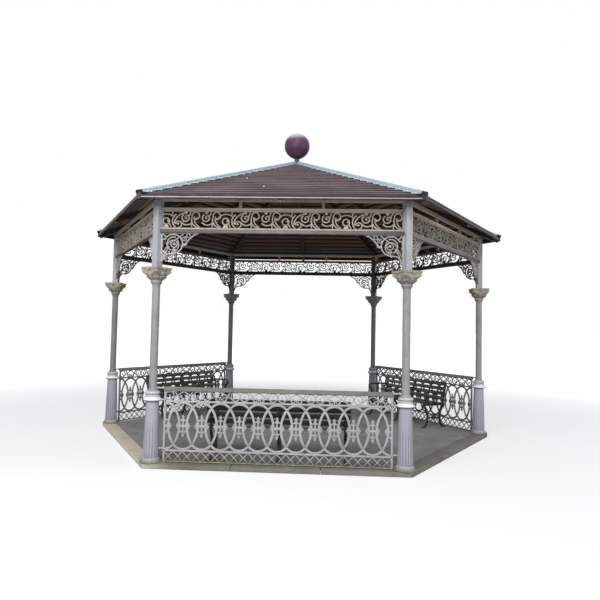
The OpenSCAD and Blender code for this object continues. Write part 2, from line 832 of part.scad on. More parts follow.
module sheet_section() {
  low = [for (u = rib_us) each rib_pts(u, 0)];
  up = [for (i = [len(rib_us) - 1:-1:0]) each [for (j = [3:-1:0]) rib_pts(rib_us[i], sheet_t)[j]]];
  polygon(concat([[0, 0]], low, [[slope_l, 0], [slope_l, sheet_t]], up, [[0, sheet_t]]));
}

module slope_wedge(g) {
  // plan of one slope, held back by g from the two hips
  linear_extrude(apex_z + 400) polygon([[0, -2*g], [-(eave_r + 60)*sin(30), -(eave_r + 60)*cos(30) - 2*g],
    [(eave_r + 60)*sin(30), -(eave_r + 60)*cos(30) - 2*g]]);
}

module roof(a) {
  color("brown") rotate([0, 0, a + 90]) difference() {
    intersection() {
      translate([0, -eave_a, eave_z]) rotate([pitch, 0, 0]) rotate([90, 0, 90])
        translate([0, 0, -eave_r]) linear_extrude(2*eave_r) sheet_section();
      slope_wedge(3);
    }
    cylinder(h = apex_z + 500, d = fneck_d + 8);
  }
}

module fascia() {
  color("maroon") for (k = [0:5]) rotate([0, 0, 60*k + 30]) {
    h0 = eave_a - fascia_t;
    intersection() {
      rotate([90, 0, 0]) translate([0, 0, -eave_r]) linear_extrude(2*eave_r)
        polygon([[h0, eave_z + fascia_t*tanp], [eave_a, eave_z], [eave_a, eave_z - fascia_h],
          [h0, eave_z - fascia_h]]);
      linear_extrude(apex_z) polygon([[eps, 0], [eave_r*2*cos(30) + eps, -eave_r*2*sin(30)],
        [eave_r*2*cos(30) + eps, eave_r*2*sin(30)]]);
    }
  }
}

// half of a hip flashing, lying on the rib crests of one slope
module cap_half(m) {
  v0 = rib_h + sheet_t;
  rotate([0, 0, m*30]) rotate([0, 0, 90]) intersection() {
    translate([0, -eave_a, eave_z]) rotate([pitch, 0, 0]) translate([-eave_r, -40, v0])
      cube([2*eave_r, slope_l*1.1, flash_t]);
    rotate([0, 0, -90 - m*30]) linear_extrude(apex_z + 600)
      polygon([[fneck_d/2 + 20, 0], [nose_r, 0], [nose_r - cap_w*tan(30), m*cap_w],
        [cap_w/tan(30) + 6, m*cap_w], [fneck_d/2 + 20, m*(fneck_d/2 + 14)*tan(30)]]);
  }
}

// the flashing's end, folded down round the corner of the eaves
module cap_nose() {
  translate([0, 0, eave_z - nose_h]) linear_extrude(nose_h + (rib_h + sheet_t)/cosp + 1)
    intersection() {
      difference() {
        hexagon(nose_a + flash_t);
        hexagon(nose_a);
      }
      translate([nose_r - nose_w/2, -nose_w*2]) square([nose_w, nose_w*4]);
    }
}

// round roll that covers the joint along the hip
module cap_roll() {
  top = apex_z + (rib_h + sheet_t + flash_t)/cosp + roll_d*0.12;
  translate([roll_r0, 0, top - roll_r0*hip_tan]) rotate([0, 90 + hip_ang, 0])
    cylinder(h = (nose_r + 6 - roll_r0)/cos(hip_ang), d = roll_d);
}

module hip_caps() {
  color("lightcyan") for (k = [0:5]) rotate([0, 0, 60*k]) {
    union() {
      cap_half(1);
      cap_half(-1);
      cap_nose();
      cap_roll();
    }
  }
}

// ---------- finial ----------
module finial_neck() {
  top = apex_z + (rib_h + sheet_t + flash_t)/cosp;
  bc = apex_z + ball_z;
  hz = apex_z - hub_d/2*tanp - hip_drop;
  zb = bc - ball_d/2;
  color("dimgray") difference() {
    rotate_extrude() {
      translate([0, hz]) square([fneck_d/2, bc - hz]);
      translate([0, top - 4]) square([collar_d/2, 16]);
      polygon([[0, zb - 14], [fneck_d/2 - 1, zb - 14], [fneck_d/2 + 5, zb - 4], [ball_d*0.2, zb + ball_d*0.032],
        [0, zb + ball_d*0.032]]);
    }
    translate([0, 0, bc]) sphere(d = ball_d);
  }
}

module finial_ball() {
  color("maroon") translate([0, 0, apex_z + ball_z]) sphere(d = ball_d);
}

floor_slab();
kerb();
column(240);  // column_front_left
column(300);  // column_front_right
column(0);  // column_right
column(60);  // column_back_right
column(120);  // column_back_left
column(180);  // column_left
upper_posts();
frieze(-90);  // frieze_front
frieze(-30);  // frieze_right_front
frieze(30);  // frieze_right_back
frieze(90);  // frieze_back
frieze(150);  // frieze_left_back
frieze(210);  // frieze_left_front
bracket_pair(-90);  // brackets_front
bracket_pair(-30);  // brackets_right_front
bracket_pair(30);  // brackets_right_back
bracket_pair(90);  // brackets_back
bracket_pair(150);  // brackets_left_back
bracket_pair(210);  // brackets_left_front
railing(-90);  // railing_front
railing(30);  // railing_right_back
railing(150);  // railing_left_back
bench_frames();
bench_slats(-90);  // bench_slats_front
bench_slats(30);  // bench_slats_right_back
bench_slats(150);  // bench_slats_left_back
eave_studs();
ring_beam();
hip_rafters();
mid_rafters();
roof(-90);  // roof_front
roof(-30);  // roof_right_front
roof(30);  // roof_right_back
roof(90);  // roof_back
roof(150);  // roof_left_back
roof(210);  // roof_left_front
fascia();
hip_caps();
apex_hub();
finial_neck();
finial_ball();
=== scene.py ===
# %% [markdown]
# A hexagonal park gazebo in cast iron: six fluted columns with leaf capitals, cast scroll friezes and
# brackets under a ribbed sheet roof, three railings of interlaced ovals, and garden benches inside.
# The solid parts come ready from the frame. Here they get their finishes, and the small forms that a
# caster, a roofer and a painter add: rounded strokes, leaves, screws, mouldings, slats, mortar and kerb.

# %% Load the frame and keep its box
import math
import bmesh
import bpy
from mathutils import Matrix, Vector


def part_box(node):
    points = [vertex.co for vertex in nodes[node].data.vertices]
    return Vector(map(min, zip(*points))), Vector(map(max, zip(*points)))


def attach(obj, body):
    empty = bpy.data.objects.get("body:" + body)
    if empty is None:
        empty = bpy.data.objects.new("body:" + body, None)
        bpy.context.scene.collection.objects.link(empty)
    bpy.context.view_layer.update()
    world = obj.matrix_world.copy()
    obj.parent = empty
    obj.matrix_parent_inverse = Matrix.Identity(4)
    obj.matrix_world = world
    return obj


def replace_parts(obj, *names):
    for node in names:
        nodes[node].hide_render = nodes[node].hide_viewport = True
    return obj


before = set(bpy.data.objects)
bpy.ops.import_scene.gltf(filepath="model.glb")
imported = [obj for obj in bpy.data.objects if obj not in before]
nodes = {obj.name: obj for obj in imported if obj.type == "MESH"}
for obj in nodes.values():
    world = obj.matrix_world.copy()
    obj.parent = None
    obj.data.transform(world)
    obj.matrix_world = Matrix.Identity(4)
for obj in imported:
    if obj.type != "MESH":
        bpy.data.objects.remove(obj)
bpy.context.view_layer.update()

# %% [markdown]
# Everything is placed from a few measures of the frame: how far the columns and the side lines stand
# from the middle, and the heights of the floor, friezes, capitals and eaves. Reading them from the
# boxes of the solid parts keeps the added pieces seated, whatever the sizes are. Side pieces are made
# on the front side and turned to the others; two neighbouring sides meet in a mitre of thirty degrees.

# %% Measure the frame
MM = 0.001
MITRE = math.radians(30)
COLUMN_R = (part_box("column_right")[0].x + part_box("column_right")[1].x) / 2
SIDE_A = COLUMN_R * math.cos(MITRE)
FLOOR_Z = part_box("floor_slab")[1].z
FRIEZE_Z0, FRIEZE_Z1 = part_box("frieze_front")[0].z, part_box("frieze_front")[1].z
CAP_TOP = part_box("column_right")[1].z
RAIL_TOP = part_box("railing_front")[1].z
EAVE_A = -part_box("roof_front")[0].y
PITCH = math.radians(22.67)
SIDES = {"front": 0, "right_front": 60, "right_back": 120, "back": 180, "left_back": 240, "left_front": 300}
COLUMNS = {"right": 0, "back_right": 60, "back_left": 120, "left": 180, "front_left": 240, "front_right": 300}
RAILED = ["front", "right_back", "left_back"]
print(f"columns {COLUMN_R:.3f} m out, sides {SIDE_A:.3f} m, eaves {EAVE_A:.3f} m out")

# %% [markdown]
# The camera stands on the ground in front, a little right of the middle, at eye height, and looks
# slightly up and to the left. Its three axes are written out, because a small roll is simplest so.

# %% Place the camera
EYE = Vector((0.6295, -9.674, 1.725))
HEADING, TILT, ROLL = math.radians(-3.12), math.radians(2.97), math.radians(1.14)
LENS_MM, SENSOR_MM = 34.2, 36.0
bpy.ops.object.camera_add(location=EYE)
camera = bpy.context.object
camera.name = "camera"
camera.data.lens, camera.data.sensor_width = LENS_MM, SENSOR_MM
camera.data.shift_y = -0.0013
ahead = Vector((math.sin(HEADING) * math.cos(TILT), math.cos(HEADING) * math.cos(TILT), math.sin(TILT)))
level = Vector((math.cos(HEADING), -math.sin(HEADING), 0))
upright = level.cross(ahead)
across = level * math.cos(ROLL) + upright * math.sin(ROLL)
upward = upright * math.cos(ROLL) - level * math.sin(ROLL)
camera.matrix_world = Matrix((across, upward, -ahead)).transposed().to_4x4()
camera.location = EYE
bpy.context.scene.camera = camera
bpy.context.scene.view_settings.view_transform = "Standard"
print("camera at", tuple(round(c, 2) for c in camera.location))

# %% [markdown]
# The light is open shade with a soft sun, as under a bright hazy sky. The world is a cool grey for light
# and plain white for the camera and for reflections, so that paint and metal mirror a pale background.

# %% Set the sky
def paint(red, green, blue):
    """A paint colour given as on a colour card, 0 to 255, turned into the linear values of a shader."""
    linear = [v / 255 / 12.92 if v <= 10 else ((v / 255 + 0.055) / 1.055) ** 2.4 for v in (red, green, blue)]
    return (*linear, 1.0)


sky = bpy.data.worlds.new("hazy_sky")
sky.use_nodes = True
bpy.context.scene.world = sky
tree = sky.node_tree
daylight = tree.nodes["Background"]
daylight.inputs["Color"].default_value = paint(222, 230, 240)
daylight.inputs["Strength"].default_value = 0.36
white = tree.nodes.new("ShaderNodeBackground")
white.inputs["Color"].default_value = (1, 1, 1, 1)
white.inputs["Strength"].default_value = 1.0
rays = tree.nodes.new("ShaderNodeLightPath")
shown = rays.outputs["Is Camera Ray"]
for kind in ("Is Glossy Ray", "Is Transmission Ray"):
    either = tree.nodes.new("ShaderNodeMath")
    either.operation, either.use_clamp = "ADD", True
    tree.links.new(shown, either.inputs[0])
    tree.links.new(rays.outputs[kind], either.inputs[1])
    shown = either.outputs[0]
choose = tree.nodes.new("ShaderNodeMixShader")
for socket, value in zip(choose.inputs, (shown, daylight.outputs[0], white.outputs[0])):
    tree.links.new(value, socket)
tree.links.new(choose.outputs[0], tree.nodes["World Output"].inputs["Surface"])
print("daylight", round(daylight.inputs["Strength"].default_value, 2), "under a white background")

# %% [markdown]
# The sun is wide, so that shadow edges are soft. A large softbox near the camera fills the front, as it
# would in a studio, and fades towards the back; a small one opens the shade of the right-hand friezes.

# %% Hang the lamps
LAMPS = {"softbox": ((-2.6, -10.0, 5.6), (-0.2, -1.0, 1.6), 4.0, 470),
         "right_fill": ((8.5, -5.0, 3.6), (2.2, -1.3, 2.8), 2.5, 110)}


def aim(lamp, direction):
    lamp.rotation_euler = direction.to_track_quat("-Z", "Y").to_euler()


bpy.ops.object.light_add(type="SUN", location=(-5, -8, 9))
sun = bpy.context.object
sun.name = "soft_sun"
sun.data.energy, sun.data.angle = 1.1, math.radians(14)
sun.data.color = (1.0, 0.965, 0.92)
aim(sun, Vector((-0.08, 0.85, -0.60)))
for name, (place, target, size, watts) in LAMPS.items():
    bpy.ops.object.light_add(type="AREA", location=place)
    lamp = bpy.context.object
    lamp.name = name
    lamp.data.shape, lamp.data.size, lamp.data.energy = "SQUARE", size, watts
    aim(lamp, Vector(target) - lamp.location)
print("sun", sun.data.energy, "and lamps", list(LAMPS))

# %% [markdown]
# Modelling by hand always starts with nothing selected, one piece active, and faces or edges picked by
# where they lie. These small helpers do that.

# %% Helpers for opening and picking
def nothing():
    """Leaves edit mode if need be, and deselects everything."""
    if bpy.context.object and bpy.context.object.mode != "OBJECT":
        close()
    bpy.ops.object.select_all(action="DESELECT")


def only(piece):
    """Selects this piece alone and makes it the active one."""
    nothing()
    piece.select_set(True)
    bpy.context.view_layer.objects.active = piece


def everything():
    bpy.ops.mesh.select_all(action="SELECT")


def edit():
    """Opens the active piece, with all of it selected."""
    bpy.ops.object.mode_set(mode="EDIT")
    everything()


def close():
    bpy.ops.object.mode_set(mode="OBJECT")


def new_bench(name):
    """An empty mesh object in edit mode, ready for primitives to be added to it."""
    nothing()
    bpy.ops.mesh.primitive_plane_add(size=0.01)
    piece = bpy.context.object
    piece.name = name
    edit()
    bpy.ops.mesh.delete(type="VERT")
    return piece


def pick(kind, test):
    """In edit mode, selects the faces, edges or vertices that pass the test, and nothing else."""
    bpy.ops.mesh.select_mode(type=kind)
    bpy.ops.mesh.select_all(action="DESELECT")
    net = bmesh.from_edit_mesh(bpy.context.object.data)
    for part in {"FACE": net.faces, "EDGE": net.edges, "VERT": net.verts}[kind]:
        if test(part):
            part.select = True
    net.select_flush_mode()
    bmesh.update_edit_mesh(bpy.context.object.data)


def run_x(edge):
    """How far an edge runs along x."""
    return abs((edge.verts[0].co - edge.verts[1].co).x)


print("picking helpers ready")

# %% [markdown]
# Three moves come again and again at the bench: pulling faces out, sawing along a plane and closing the
# cut, and making the faces look outwards. Bars start as a block of their size.

# %% Helpers for shaping
def pull(x, y, z):
    """Extrudes what is selected."""
    bpy.ops.mesh.extrude_region_move(TRANSFORM_OT_translate={"value": (x, y, z)})


def outward():
    everything()
    bpy.ops.mesh.normals_make_consistent(inside=False)


def cut(point, normal):
    """Saws all of the open piece along a plane, drops what lies beyond and closes the cut."""
    everything()
    bpy.ops.mesh.bisect(plane_co=point, plane_no=normal, clear_outer=True, use_fill=True)


def block(size, place=(0, 0, 0), seated=False):
    """A plain block to start a bar from; seated puts its place into its mesh."""
    nothing()
    bpy.ops.mesh.primitive_cube_add(size=1, location=place)
    made = bpy.context.object
    made.scale = size
    bpy.ops.object.transform_apply(location=seated, rotation=False, scale=True)
    return made


def press(piece, name, kind, **settings):
    """Gives the active piece a modifier and applies it at once."""
    made = piece.modifiers.new(name, kind)
    for key, value in settings.items():
        setattr(made, key, value)
    bpy.ops.object.modifier_apply(modifier=name)


def smooth(piece, degrees):
    """Smooth shading, with edges sharper than the angle left crisp."""
    only(piece)
    bpy.ops.object.shade_smooth_by_angle(angle=math.radians(degrees))


print("shaping helpers ready")

# %% [markdown]
# A finished piece is seated: its place goes into its mesh, it gets its name, finish and record slot,
# and it rides with the frame. What repeats is copied, each copy with a mesh of its own.

# %% Helpers for copying and seating
def turn(degrees):
    return Matrix.Rotation(math.radians(degrees), 4, "Z")


def apply_place():
    bpy.ops.object.transform_apply(location=True, rotation=True, scale=True)


def copy_at(piece, place):
    """A copy with its own mesh, moved by the matrix, with that move put into its mesh."""
    only(piece)
    bpy.ops.object.duplicate(linked=False)
    twin = bpy.context.object
    twin.matrix_world = place @ piece.matrix_world
    apply_place()
    return twin


def join(parts):
    """Joins the pieces into the first one."""
    nothing()
    for part in parts:
        part.select_set(True)
    bpy.context.view_layer.objects.active = parts[0]
    bpy.ops.object.join()
    return parts[0]


def settle(piece, name, finish):
    """Seats a finished piece: place in its mesh, name, finish, record slot, and it rides on the frame."""
    only(piece)
    apply_place()
    piece.name = piece.data.name = name
    piece.data.materials.clear()
    piece.data.materials.append(finish)
    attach(piece, "root")
    return piece


def seat_round(piece, name, finish, sides=SIDES):
    """Copies a front piece to the other sides and seats them all, each named after its side."""
    seated = {}
    for side in sides:
        if side != "front":
            seated[side] = settle(copy_at(piece, turn(SIDES[side])), name + side, finish)
    seated["front"] = settle(piece, name + "front", finish)
    return seated


print("seating helpers ready")

# %% [markdown]
# A finish starts as one paint colour and gets layers over it, the way weather adds them: broad tone
# changes, runs and dirt, worn edges, specks, and a fine bump. Each layer is a mask from noise or from
# height over the ground, read in object coordinates, so nothing slides or repeats.

# %% Helpers for mixing finishes
def tone(colour, share, more=0):
    """A paler or darker tone of a colour."""
    return tuple(min(255, int(c * share) + more) for c in colour)


class Finish:
    """A material being mixed. Masks are sockets from 0 to 1, and coat() lays a colour over where one is 1."""

    def __init__(self, name, colour, rough=0.5, coat=0.0, specular=0.5):
        self.material = bpy.data.materials.new(name)
        self.material.use_nodes = True
        self.tree = self.material.node_tree
        self.shader = self.tree.nodes["Principled BSDF"]
        settings = {"Roughness": rough, "Coat Weight": coat, "Coat Roughness": 0.15,
                    "Specular IOR Level": specular, "Base Color": paint(*colour)}
        for key, value in settings.items():
            self.shader.inputs[key].default_value = value
        self.place = self.node("ShaderNodeTexCoord").outputs["Object"]
        self.colour, self.normal = paint(*colour), None

    def node(self, kind, **settings):
        made = self.tree.nodes.new(kind)
        for key, value in settings.items():
            setattr(made, key, value)
        return made

    def put(self, socket, value):
        """Links a mask into a socket, or sets the socket to a plain value."""
        if isinstance(value, bpy.types.NodeSocket):
            self.tree.links.new(value, socket)
        else:
            socket.default_value = value

    def stretch(self, x, y, z):
        """The place, scaled, for noise that is drawn out in one direction."""
        mapping = self.node("ShaderNodeMapping")
        self.put(mapping.inputs["Vector"], self.place)
        mapping.inputs["Scale"].default_value = (x, y, z)
        return mapping.outputs["Vector"]

    def sum(self, kind, a, b=0.0):
        made = self.node("ShaderNodeMath", operation=kind)
        self.put(made.inputs[0], a)
        self.put(made.inputs[1], b)
        return made.outputs[0]

    def minus(self, a, b):
        return self.sum("SUBTRACT", a, b)

    def rest(self, mask):
        """Everywhere that the mask isn't."""
        return self.minus(1.0, mask)

    def times(self, *masks):
        """Where all the masks meet."""
        result = masks[0]
        for mask in masks[1:]:
            result = self.sum("MULTIPLY", result, mask)
        return result

    def level(self, value, start, end):
        """0 before start and 1 after end, with a smooth change between."""
        made = self.node("ShaderNodeMapRange", interpolation_type="SMOOTHSTEP")
        self.put(made.inputs["Value"], value)
        made.inputs["From Min"].default_value = start
        made.inputs["From Max"].default_value = end
        return made.outputs["Result"]

    def cloud(self, scale, start=0.4, end=0.65, detail=4.0, vector=None):
        noise = self.node("ShaderNodeTexNoise")
        self.put(noise.inputs["Vector"], vector or self.place)
        for key, value in {"Scale": scale, "Detail": detail, "Roughness": 0.55}.items():
            noise.inputs[key].default_value = value
        return self.level(noise.outputs["Fac"], start, end)

    def specks(self, scale, size):
        cells = self.node("ShaderNodeTexVoronoi")
        self.put(cells.inputs["Vector"], self.place)
        cells.inputs["Scale"].default_value = scale
        return self.rest(self.level(cells.outputs["Distance"], size * 0.6, size))

    def axis(self, name):
        split = self.node("ShaderNodeSeparateXYZ")
        self.put(split.inputs[0], self.place)
        return split.outputs[name]

    def under(self, height, start, end):
        """Grows with the depth under a height over the ground."""
        return self.level(self.minus(height, self.axis("Z")), start, end)

    def vector_sum(self, kind, a, b=(0.0, 0.0, 0.0)):
        made = self.node("ShaderNodeVectorMath", operation=kind)
        self.put(made.inputs[0], a)
        self.put(made.inputs[1], b)
        return made

    def along(self, direction):
        """How far out a point lies in a direction."""
        return self.vector_sum("DOT_PRODUCT", self.place, direction).outputs["Value"]

    def facing(self, direction):
        """How far the surface faces a direction, from -1 to 1."""
        normal = self.node("ShaderNodeNewGeometry").outputs["Normal"]
        return self.vector_sum("DOT_PRODUCT", normal, direction).outputs["Value"]

    def facing_in(self):
        """How far the surface faces the middle of the floor, from -1 to 1."""
        level_place = self.vector_sum("MULTIPLY", self.place, (-1.0, -1.0, 0.0)).outputs[0]
        return self.facing(self.vector_sum("NORMALIZE", level_place).outputs[0])

    def up(self, start, end):
        """Faces that look up."""
        return self.level(self.facing((0, 0, 1)), start, end)

    def down(self, start, end):
        """Faces that look down."""
        return self.level(self.facing((0, 0, -1)), start, end)

    def bands(self, value, first, pitch, half, soft):
        """1 within half of each line at first, first + pitch and so on."""
        turns = self.sum("ADD", self.sum("DIVIDE", self.minus(value, first), pitch), 100.5)
        off = self.sum("ABSOLUTE", self.minus(self.sum("FRACT", turns), 0.5))
        return self.rest(self.level(self.sum("MULTIPLY", off, pitch), half - soft, half + soft))

    def coat(self, mask, colour, share=1.0):
        mix = self.node("ShaderNodeMix", data_type="RGBA")
        self.put(mix.inputs["Factor"], mask if share == 1.0 else self.sum("MULTIPLY", mask, share))
        self.put(mix.inputs[6], self.colour)
        mix.inputs[7].default_value = paint(*colour)
        self.colour = mix.outputs[2]

    def patches(self, scale, start, end, colour, share, detail=4.0):
        """Lays a colour over in clouds."""
        self.coat(self.cloud(scale, start, end, detail), colour, share)

    def bump(self, height, depth, strength):
        made = self.node("ShaderNodeBump")
        made.inputs["Distance"].default_value = depth
        made.inputs["Strength"].default_value = strength
        self.put(made.inputs["Height"], height)
        if self.normal:
            self.put(made.inputs["Normal"], self.normal)
        self.normal = made.outputs["Normal"]

    def grain(self, scale, depth, strength, start=0.3, end=0.7, detail=4.0):
        """A fine bump from clouds."""
        self.bump(self.cloud(scale, start, end, detail), depth, strength)

    def shine(self, scale, smoothest, roughest):
        """Roughness that changes in clouds."""
        made = self.node("ShaderNodeMapRange")
        self.put(made.inputs["Value"], self.cloud(scale, 0.3, 0.7))
        made.inputs["To Min"].default_value = smoothest
        made.inputs["To Max"].default_value = roughest
        self.put(self.shader.inputs["Roughness"], made.outputs["Result"])

    def done(self):
        self.put(self.shader.inputs["Base Color"], self.colour)
        if self.normal:
            self.put(self.shader.inputs["Normal"], self.normal)
        return self.material


print("finish helpers ready")

# %% [markdown]
# A cast column has parts in different tones: the pedestal is paler and bluer, the two ring mouldings are
# painted white on top, a painted highlight, and dark below, a painted shade, the lower flutes are painted
# darker in their hollows, a painted shade, and the crown yellows. Height over the ground and the turn
# round the column's own axis tell these apart.

# %% Mix the coats that only columns have
PEDESTAL_TOP = FLOOR_Z + 0.742
RINGS_HIGH, LOW_RING_HIGH = 0.12, 0.056
FLUTE_STEP = math.tau / 16


def column_coats(finish, angle):
    height = finish.axis("Z")
    finish.coat(finish.under(PEDESTAL_TOP, -0.004, 0.004), (174, 174, 187), 0.75)
    over_rings = finish.level(height, PEDESTAL_TOP + RINGS_HIGH, PEDESTAL_TOP + RINGS_HIGH + 0.004)
    rings = finish.times(finish.level(height, PEDESTAL_TOP, PEDESTAL_TOP + 0.004), finish.rest(over_rings))
    # Ring tops are painted white, a painted highlight.
    finish.coat(finish.times(rings, finish.up(-0.4, 0.1)), (206, 205, 210), 0.85)
    low_ring = finish.times(rings, finish.under(PEDESTAL_TOP + LOW_RING_HIGH, 0.0, 0.004))
    finish.coat(finish.times(low_ring, finish.up(-0.4, 0.1)), (246, 246, 250), 0.9)
    # Ring undersides are painted darker, a painted shade.
    finish.coat(finish.times(rings, finish.down(0.2, 0.6)), (118, 116, 122), 0.8)
    turned = math.radians(angle)
    out_y = finish.minus(finish.axis("Y"), COLUMN_R * math.sin(turned))
    out_x = finish.minus(finish.axis("X"), COLUMN_R * math.cos(turned))
    round_axis = finish.sum("ARCTAN2", out_y, out_x)
    # The lower flutes are painted darker in their hollows, a painted shade.
    flute_shade = finish.bands(round_axis, turned + FLUTE_STEP / 2, FLUTE_STEP, 0.05, 0.035)
    fading = finish.under(FLOOR_Z + 0.56, 0.0, 0.2)
    over_foot = finish.level(height, FLOOR_Z + 0.045, FLOOR_Z + 0.075)
    finish.coat(finish.times(flute_shade, fading, over_foot), (112, 110, 120), 0.75)
    finish.coat(finish.level(height, CAP_TOP - 0.18, CAP_TOP - 0.15), (160, 154, 141), 0.8)


print("pedestals end at", round(PEDESTAL_TOP, 3), "m")

# %% [markdown]
# The cast parts wear a pale lavender-grey paint, many times renewed. It is chalky in patches, dusty on
# ledges, dirty in the low parts where the ground splashes up, and greenish with moss at the very foot.
# Grey undercoat shows in small chips. On the columns the ledges are painted paler, a painted highlight.
# Faces that look down, and faces that look in to the middle of the floor under the roof, are painted
# darker: painted shade.

# %% Mix the cast-iron paints
GRIME_AND_SHADE = (96, 88, 76)
SPLASH_HIGH, MOSS_HIGH = 0.42, 0.075


def cast_paint(name, colour, splash=True, moss=0.0, column=None, inside=None):
    finish = Finish(name, colour, specular=0.3)
    pale = tone(colour, 1, 13)
    finish.patches(1.7, 0.42, 0.62, pale, 0.6)
    finish.patches(5.5, 0.5, 0.72, tone(colour, 0.86), 0.65, detail=6)
    finish.coat(finish.cloud(9.0, 0.52, 0.75, vector=finish.stretch(1.0, 1.0, 0.09)), GRIME_AND_SHADE, 0.22)
    ledges = finish.times(finish.up(0.35, 0.9), finish.cloud(14.0, 0.36, 0.66))
    # On columns the ledges are painted paler, a painted highlight; on other parts they take dust.
    finish.coat(ledges, pale if column else GRIME_AND_SHADE, 0.35)
    # Faces that look down are painted darker, a painted shade.
    finish.coat(finish.down(0.3, 0.9), GRIME_AND_SHADE, 0.3)
    if splash:
        low = finish.under(FLOOR_Z + SPLASH_HIGH, 0.0, 0.42)
        finish.coat(finish.times(low, finish.cloud(16.0, 0.3, 0.72, detail=6)), (128, 119, 104), 0.45)
        foot = finish.under(FLOOR_Z + MOSS_HIGH, 0.0, 0.07)
        finish.coat(finish.times(foot, finish.cloud(30.0, 0.32, 0.6)), (118, 124, 62), 0.85)
    if moss:
        finish.patches(11.0, 0.44, 0.68, (108, 112, 78), moss)
    if column:
        column_coats(finish, column)
    if inside:
        # Faces that look in are painted darker, a painted shade for the shade under the roof.
        finish.coat(finish.level(finish.facing_in(), 0.1, 0.6), inside, 0.85)
    chips = finish.times(finish.specks(46.0, 0.16), finish.cloud(3.3, 0.5, 0.62))
    finish.coat(chips, (92, 84, 80), 0.8)
    finish.grain(60.0, 0.0012, 0.45, 0.2, 0.8, detail=3)
    finish.bump(finish.rest(chips), 0.0008, 0.5)
    finish.shine(7.0, 0.42, 0.66)
    return finish.done()


COLUMN_GREY = (152, 150, 151)
# The far columns get darker greys, a painted shade for the shade they stand in.
FAR_SHADED_GREYS = {"left": (128, 127, 126), "back_left": (138, 136, 135), "back_right": (136, 134, 133)}
coats = {}
for name, angle in COLUMNS.items():
    grey = FAR_SHADED_GREYS.get(name, COLUMN_GREY)
    coats["column_" + name] = cast_paint("column_paint_" + name, grey, column=angle + 360)
# The inside colours below are painted shade on the faces that look in.
railing_paint = cast_paint("railing_paint", (178, 175, 179), inside=(88, 86, 88))
# The handrail is painted darker than the railing, a painted shade against the sun on its top.
handrail_shaded_paint = cast_paint("handrail_shaded_paint", (122, 120, 116), splash=False)
capital_paint = cast_paint("capital_paint", (172, 165, 156), splash=False, moss=0.16)
frieze_paint = cast_paint("frieze_paint", (174, 164, 154), splash=False, inside=(34, 29, 26))
bracket_paint = cast_paint("bracket_paint", (176, 170, 166), splash=False, inside=(34, 30, 27))
# The lower chords are painted darker, a painted shade, and the upper ones paler, painted light under the
# eaves.
lower_chord_shaded_paint = cast_paint("lower_chord_shaded_paint", (124, 118, 116), splash=False, inside=(60, 52, 46))
upper_chord_lit_paint = cast_paint("upper_chord_lit_paint", (204, 186, 170), splash=False, inside=(84, 72, 62))
print(len(coats), "column paints and seven other cast-iron paints mixed")

# %% [markdown]
# The square posts over the capitals and the light steel of the roof edge are drawn steel, not cast:
# smoother, with vertical rain marks and a little rust at the joints. Faces of the posts that look in are
# painted darker, a painted shade, and the ring beam is painted paler, painted light under the eaves. The
# outer ends of the rafters are nearly black.

# %% Mix the steel paints
def steel_paint(name, colour, rust=0.35, ends=None, inside=None):
    finish = Finish(name, colour, rough=0.45, coat=0.1)
    finish.patches(2.4, 0.4, 0.65, tone(colour, 1, 10), 0.6)
    finish.coat(finish.cloud(12.0, 0.5, 0.74, vector=finish.stretch(1.0, 1.0, 0.12)), (112, 102, 92), 0.3)
    spots = finish.times(finish.cloud(34.0, 0.56, 0.7, detail=6), finish.cloud(4.0, 0.5, 0.7))
    finish.coat(spots, (116, 74, 48), rust)
    if inside:
        # Faces that look in are painted darker, a painted shade.
        finish.coat(finish.level(finish.facing_in(), 0.1, 0.6), inside, 0.85)
    if ends:
        finish.coat(finish.level(finish.times(finish.facing_in(), -1.0), 0.85, 0.95), ends)
    finish.grain(90.0, 0.0006, 0.35)
    finish.shine(6.0, 0.38, 0.6)
    return finish.done()


post_paint = steel_paint("post_paint", (164, 165, 171), inside=(78, 66, 58))
# The ring beam and studs are painted paler, painted light against the shade under the eaves.
beam_lit_paint = steel_paint("beam_lit_paint", (204, 184, 168), rust=0.5)
rafter_paint = steel_paint("rafter_paint", (66, 52, 46), rust=0.3, ends=(30, 25, 24))
print("three steel paints mixed")

# %% [markdown]
# The roof is pressed sheet in a brown that has weathered to slate. Its ribs run level, one above the
# other, so the bands follow the distance up each slope: the crests are paler, with dust and a painted
# highlight, the tops of the flanks get a painted highlight, the flanks and the pans are painted dark, a
# painted shade, and paler wash marks run down. Each slope has its own outward direction.

# %% Mix the top of the roof sheet
RIB_FIRST, RIB_STEP, RIB_HALF = 0.060 * math.cos(PITCH), 0.150 * math.cos(PITCH), 0.011
RIB_0 = EAVE_A - RIB_FIRST
UP_SLOPE = Vector((0, -math.sin(PITCH), math.cos(PITCH)))
ROOF_CREST = max(vert.co.dot(UP_SLOPE) for vert in nodes["roof_front"].data.vertices)


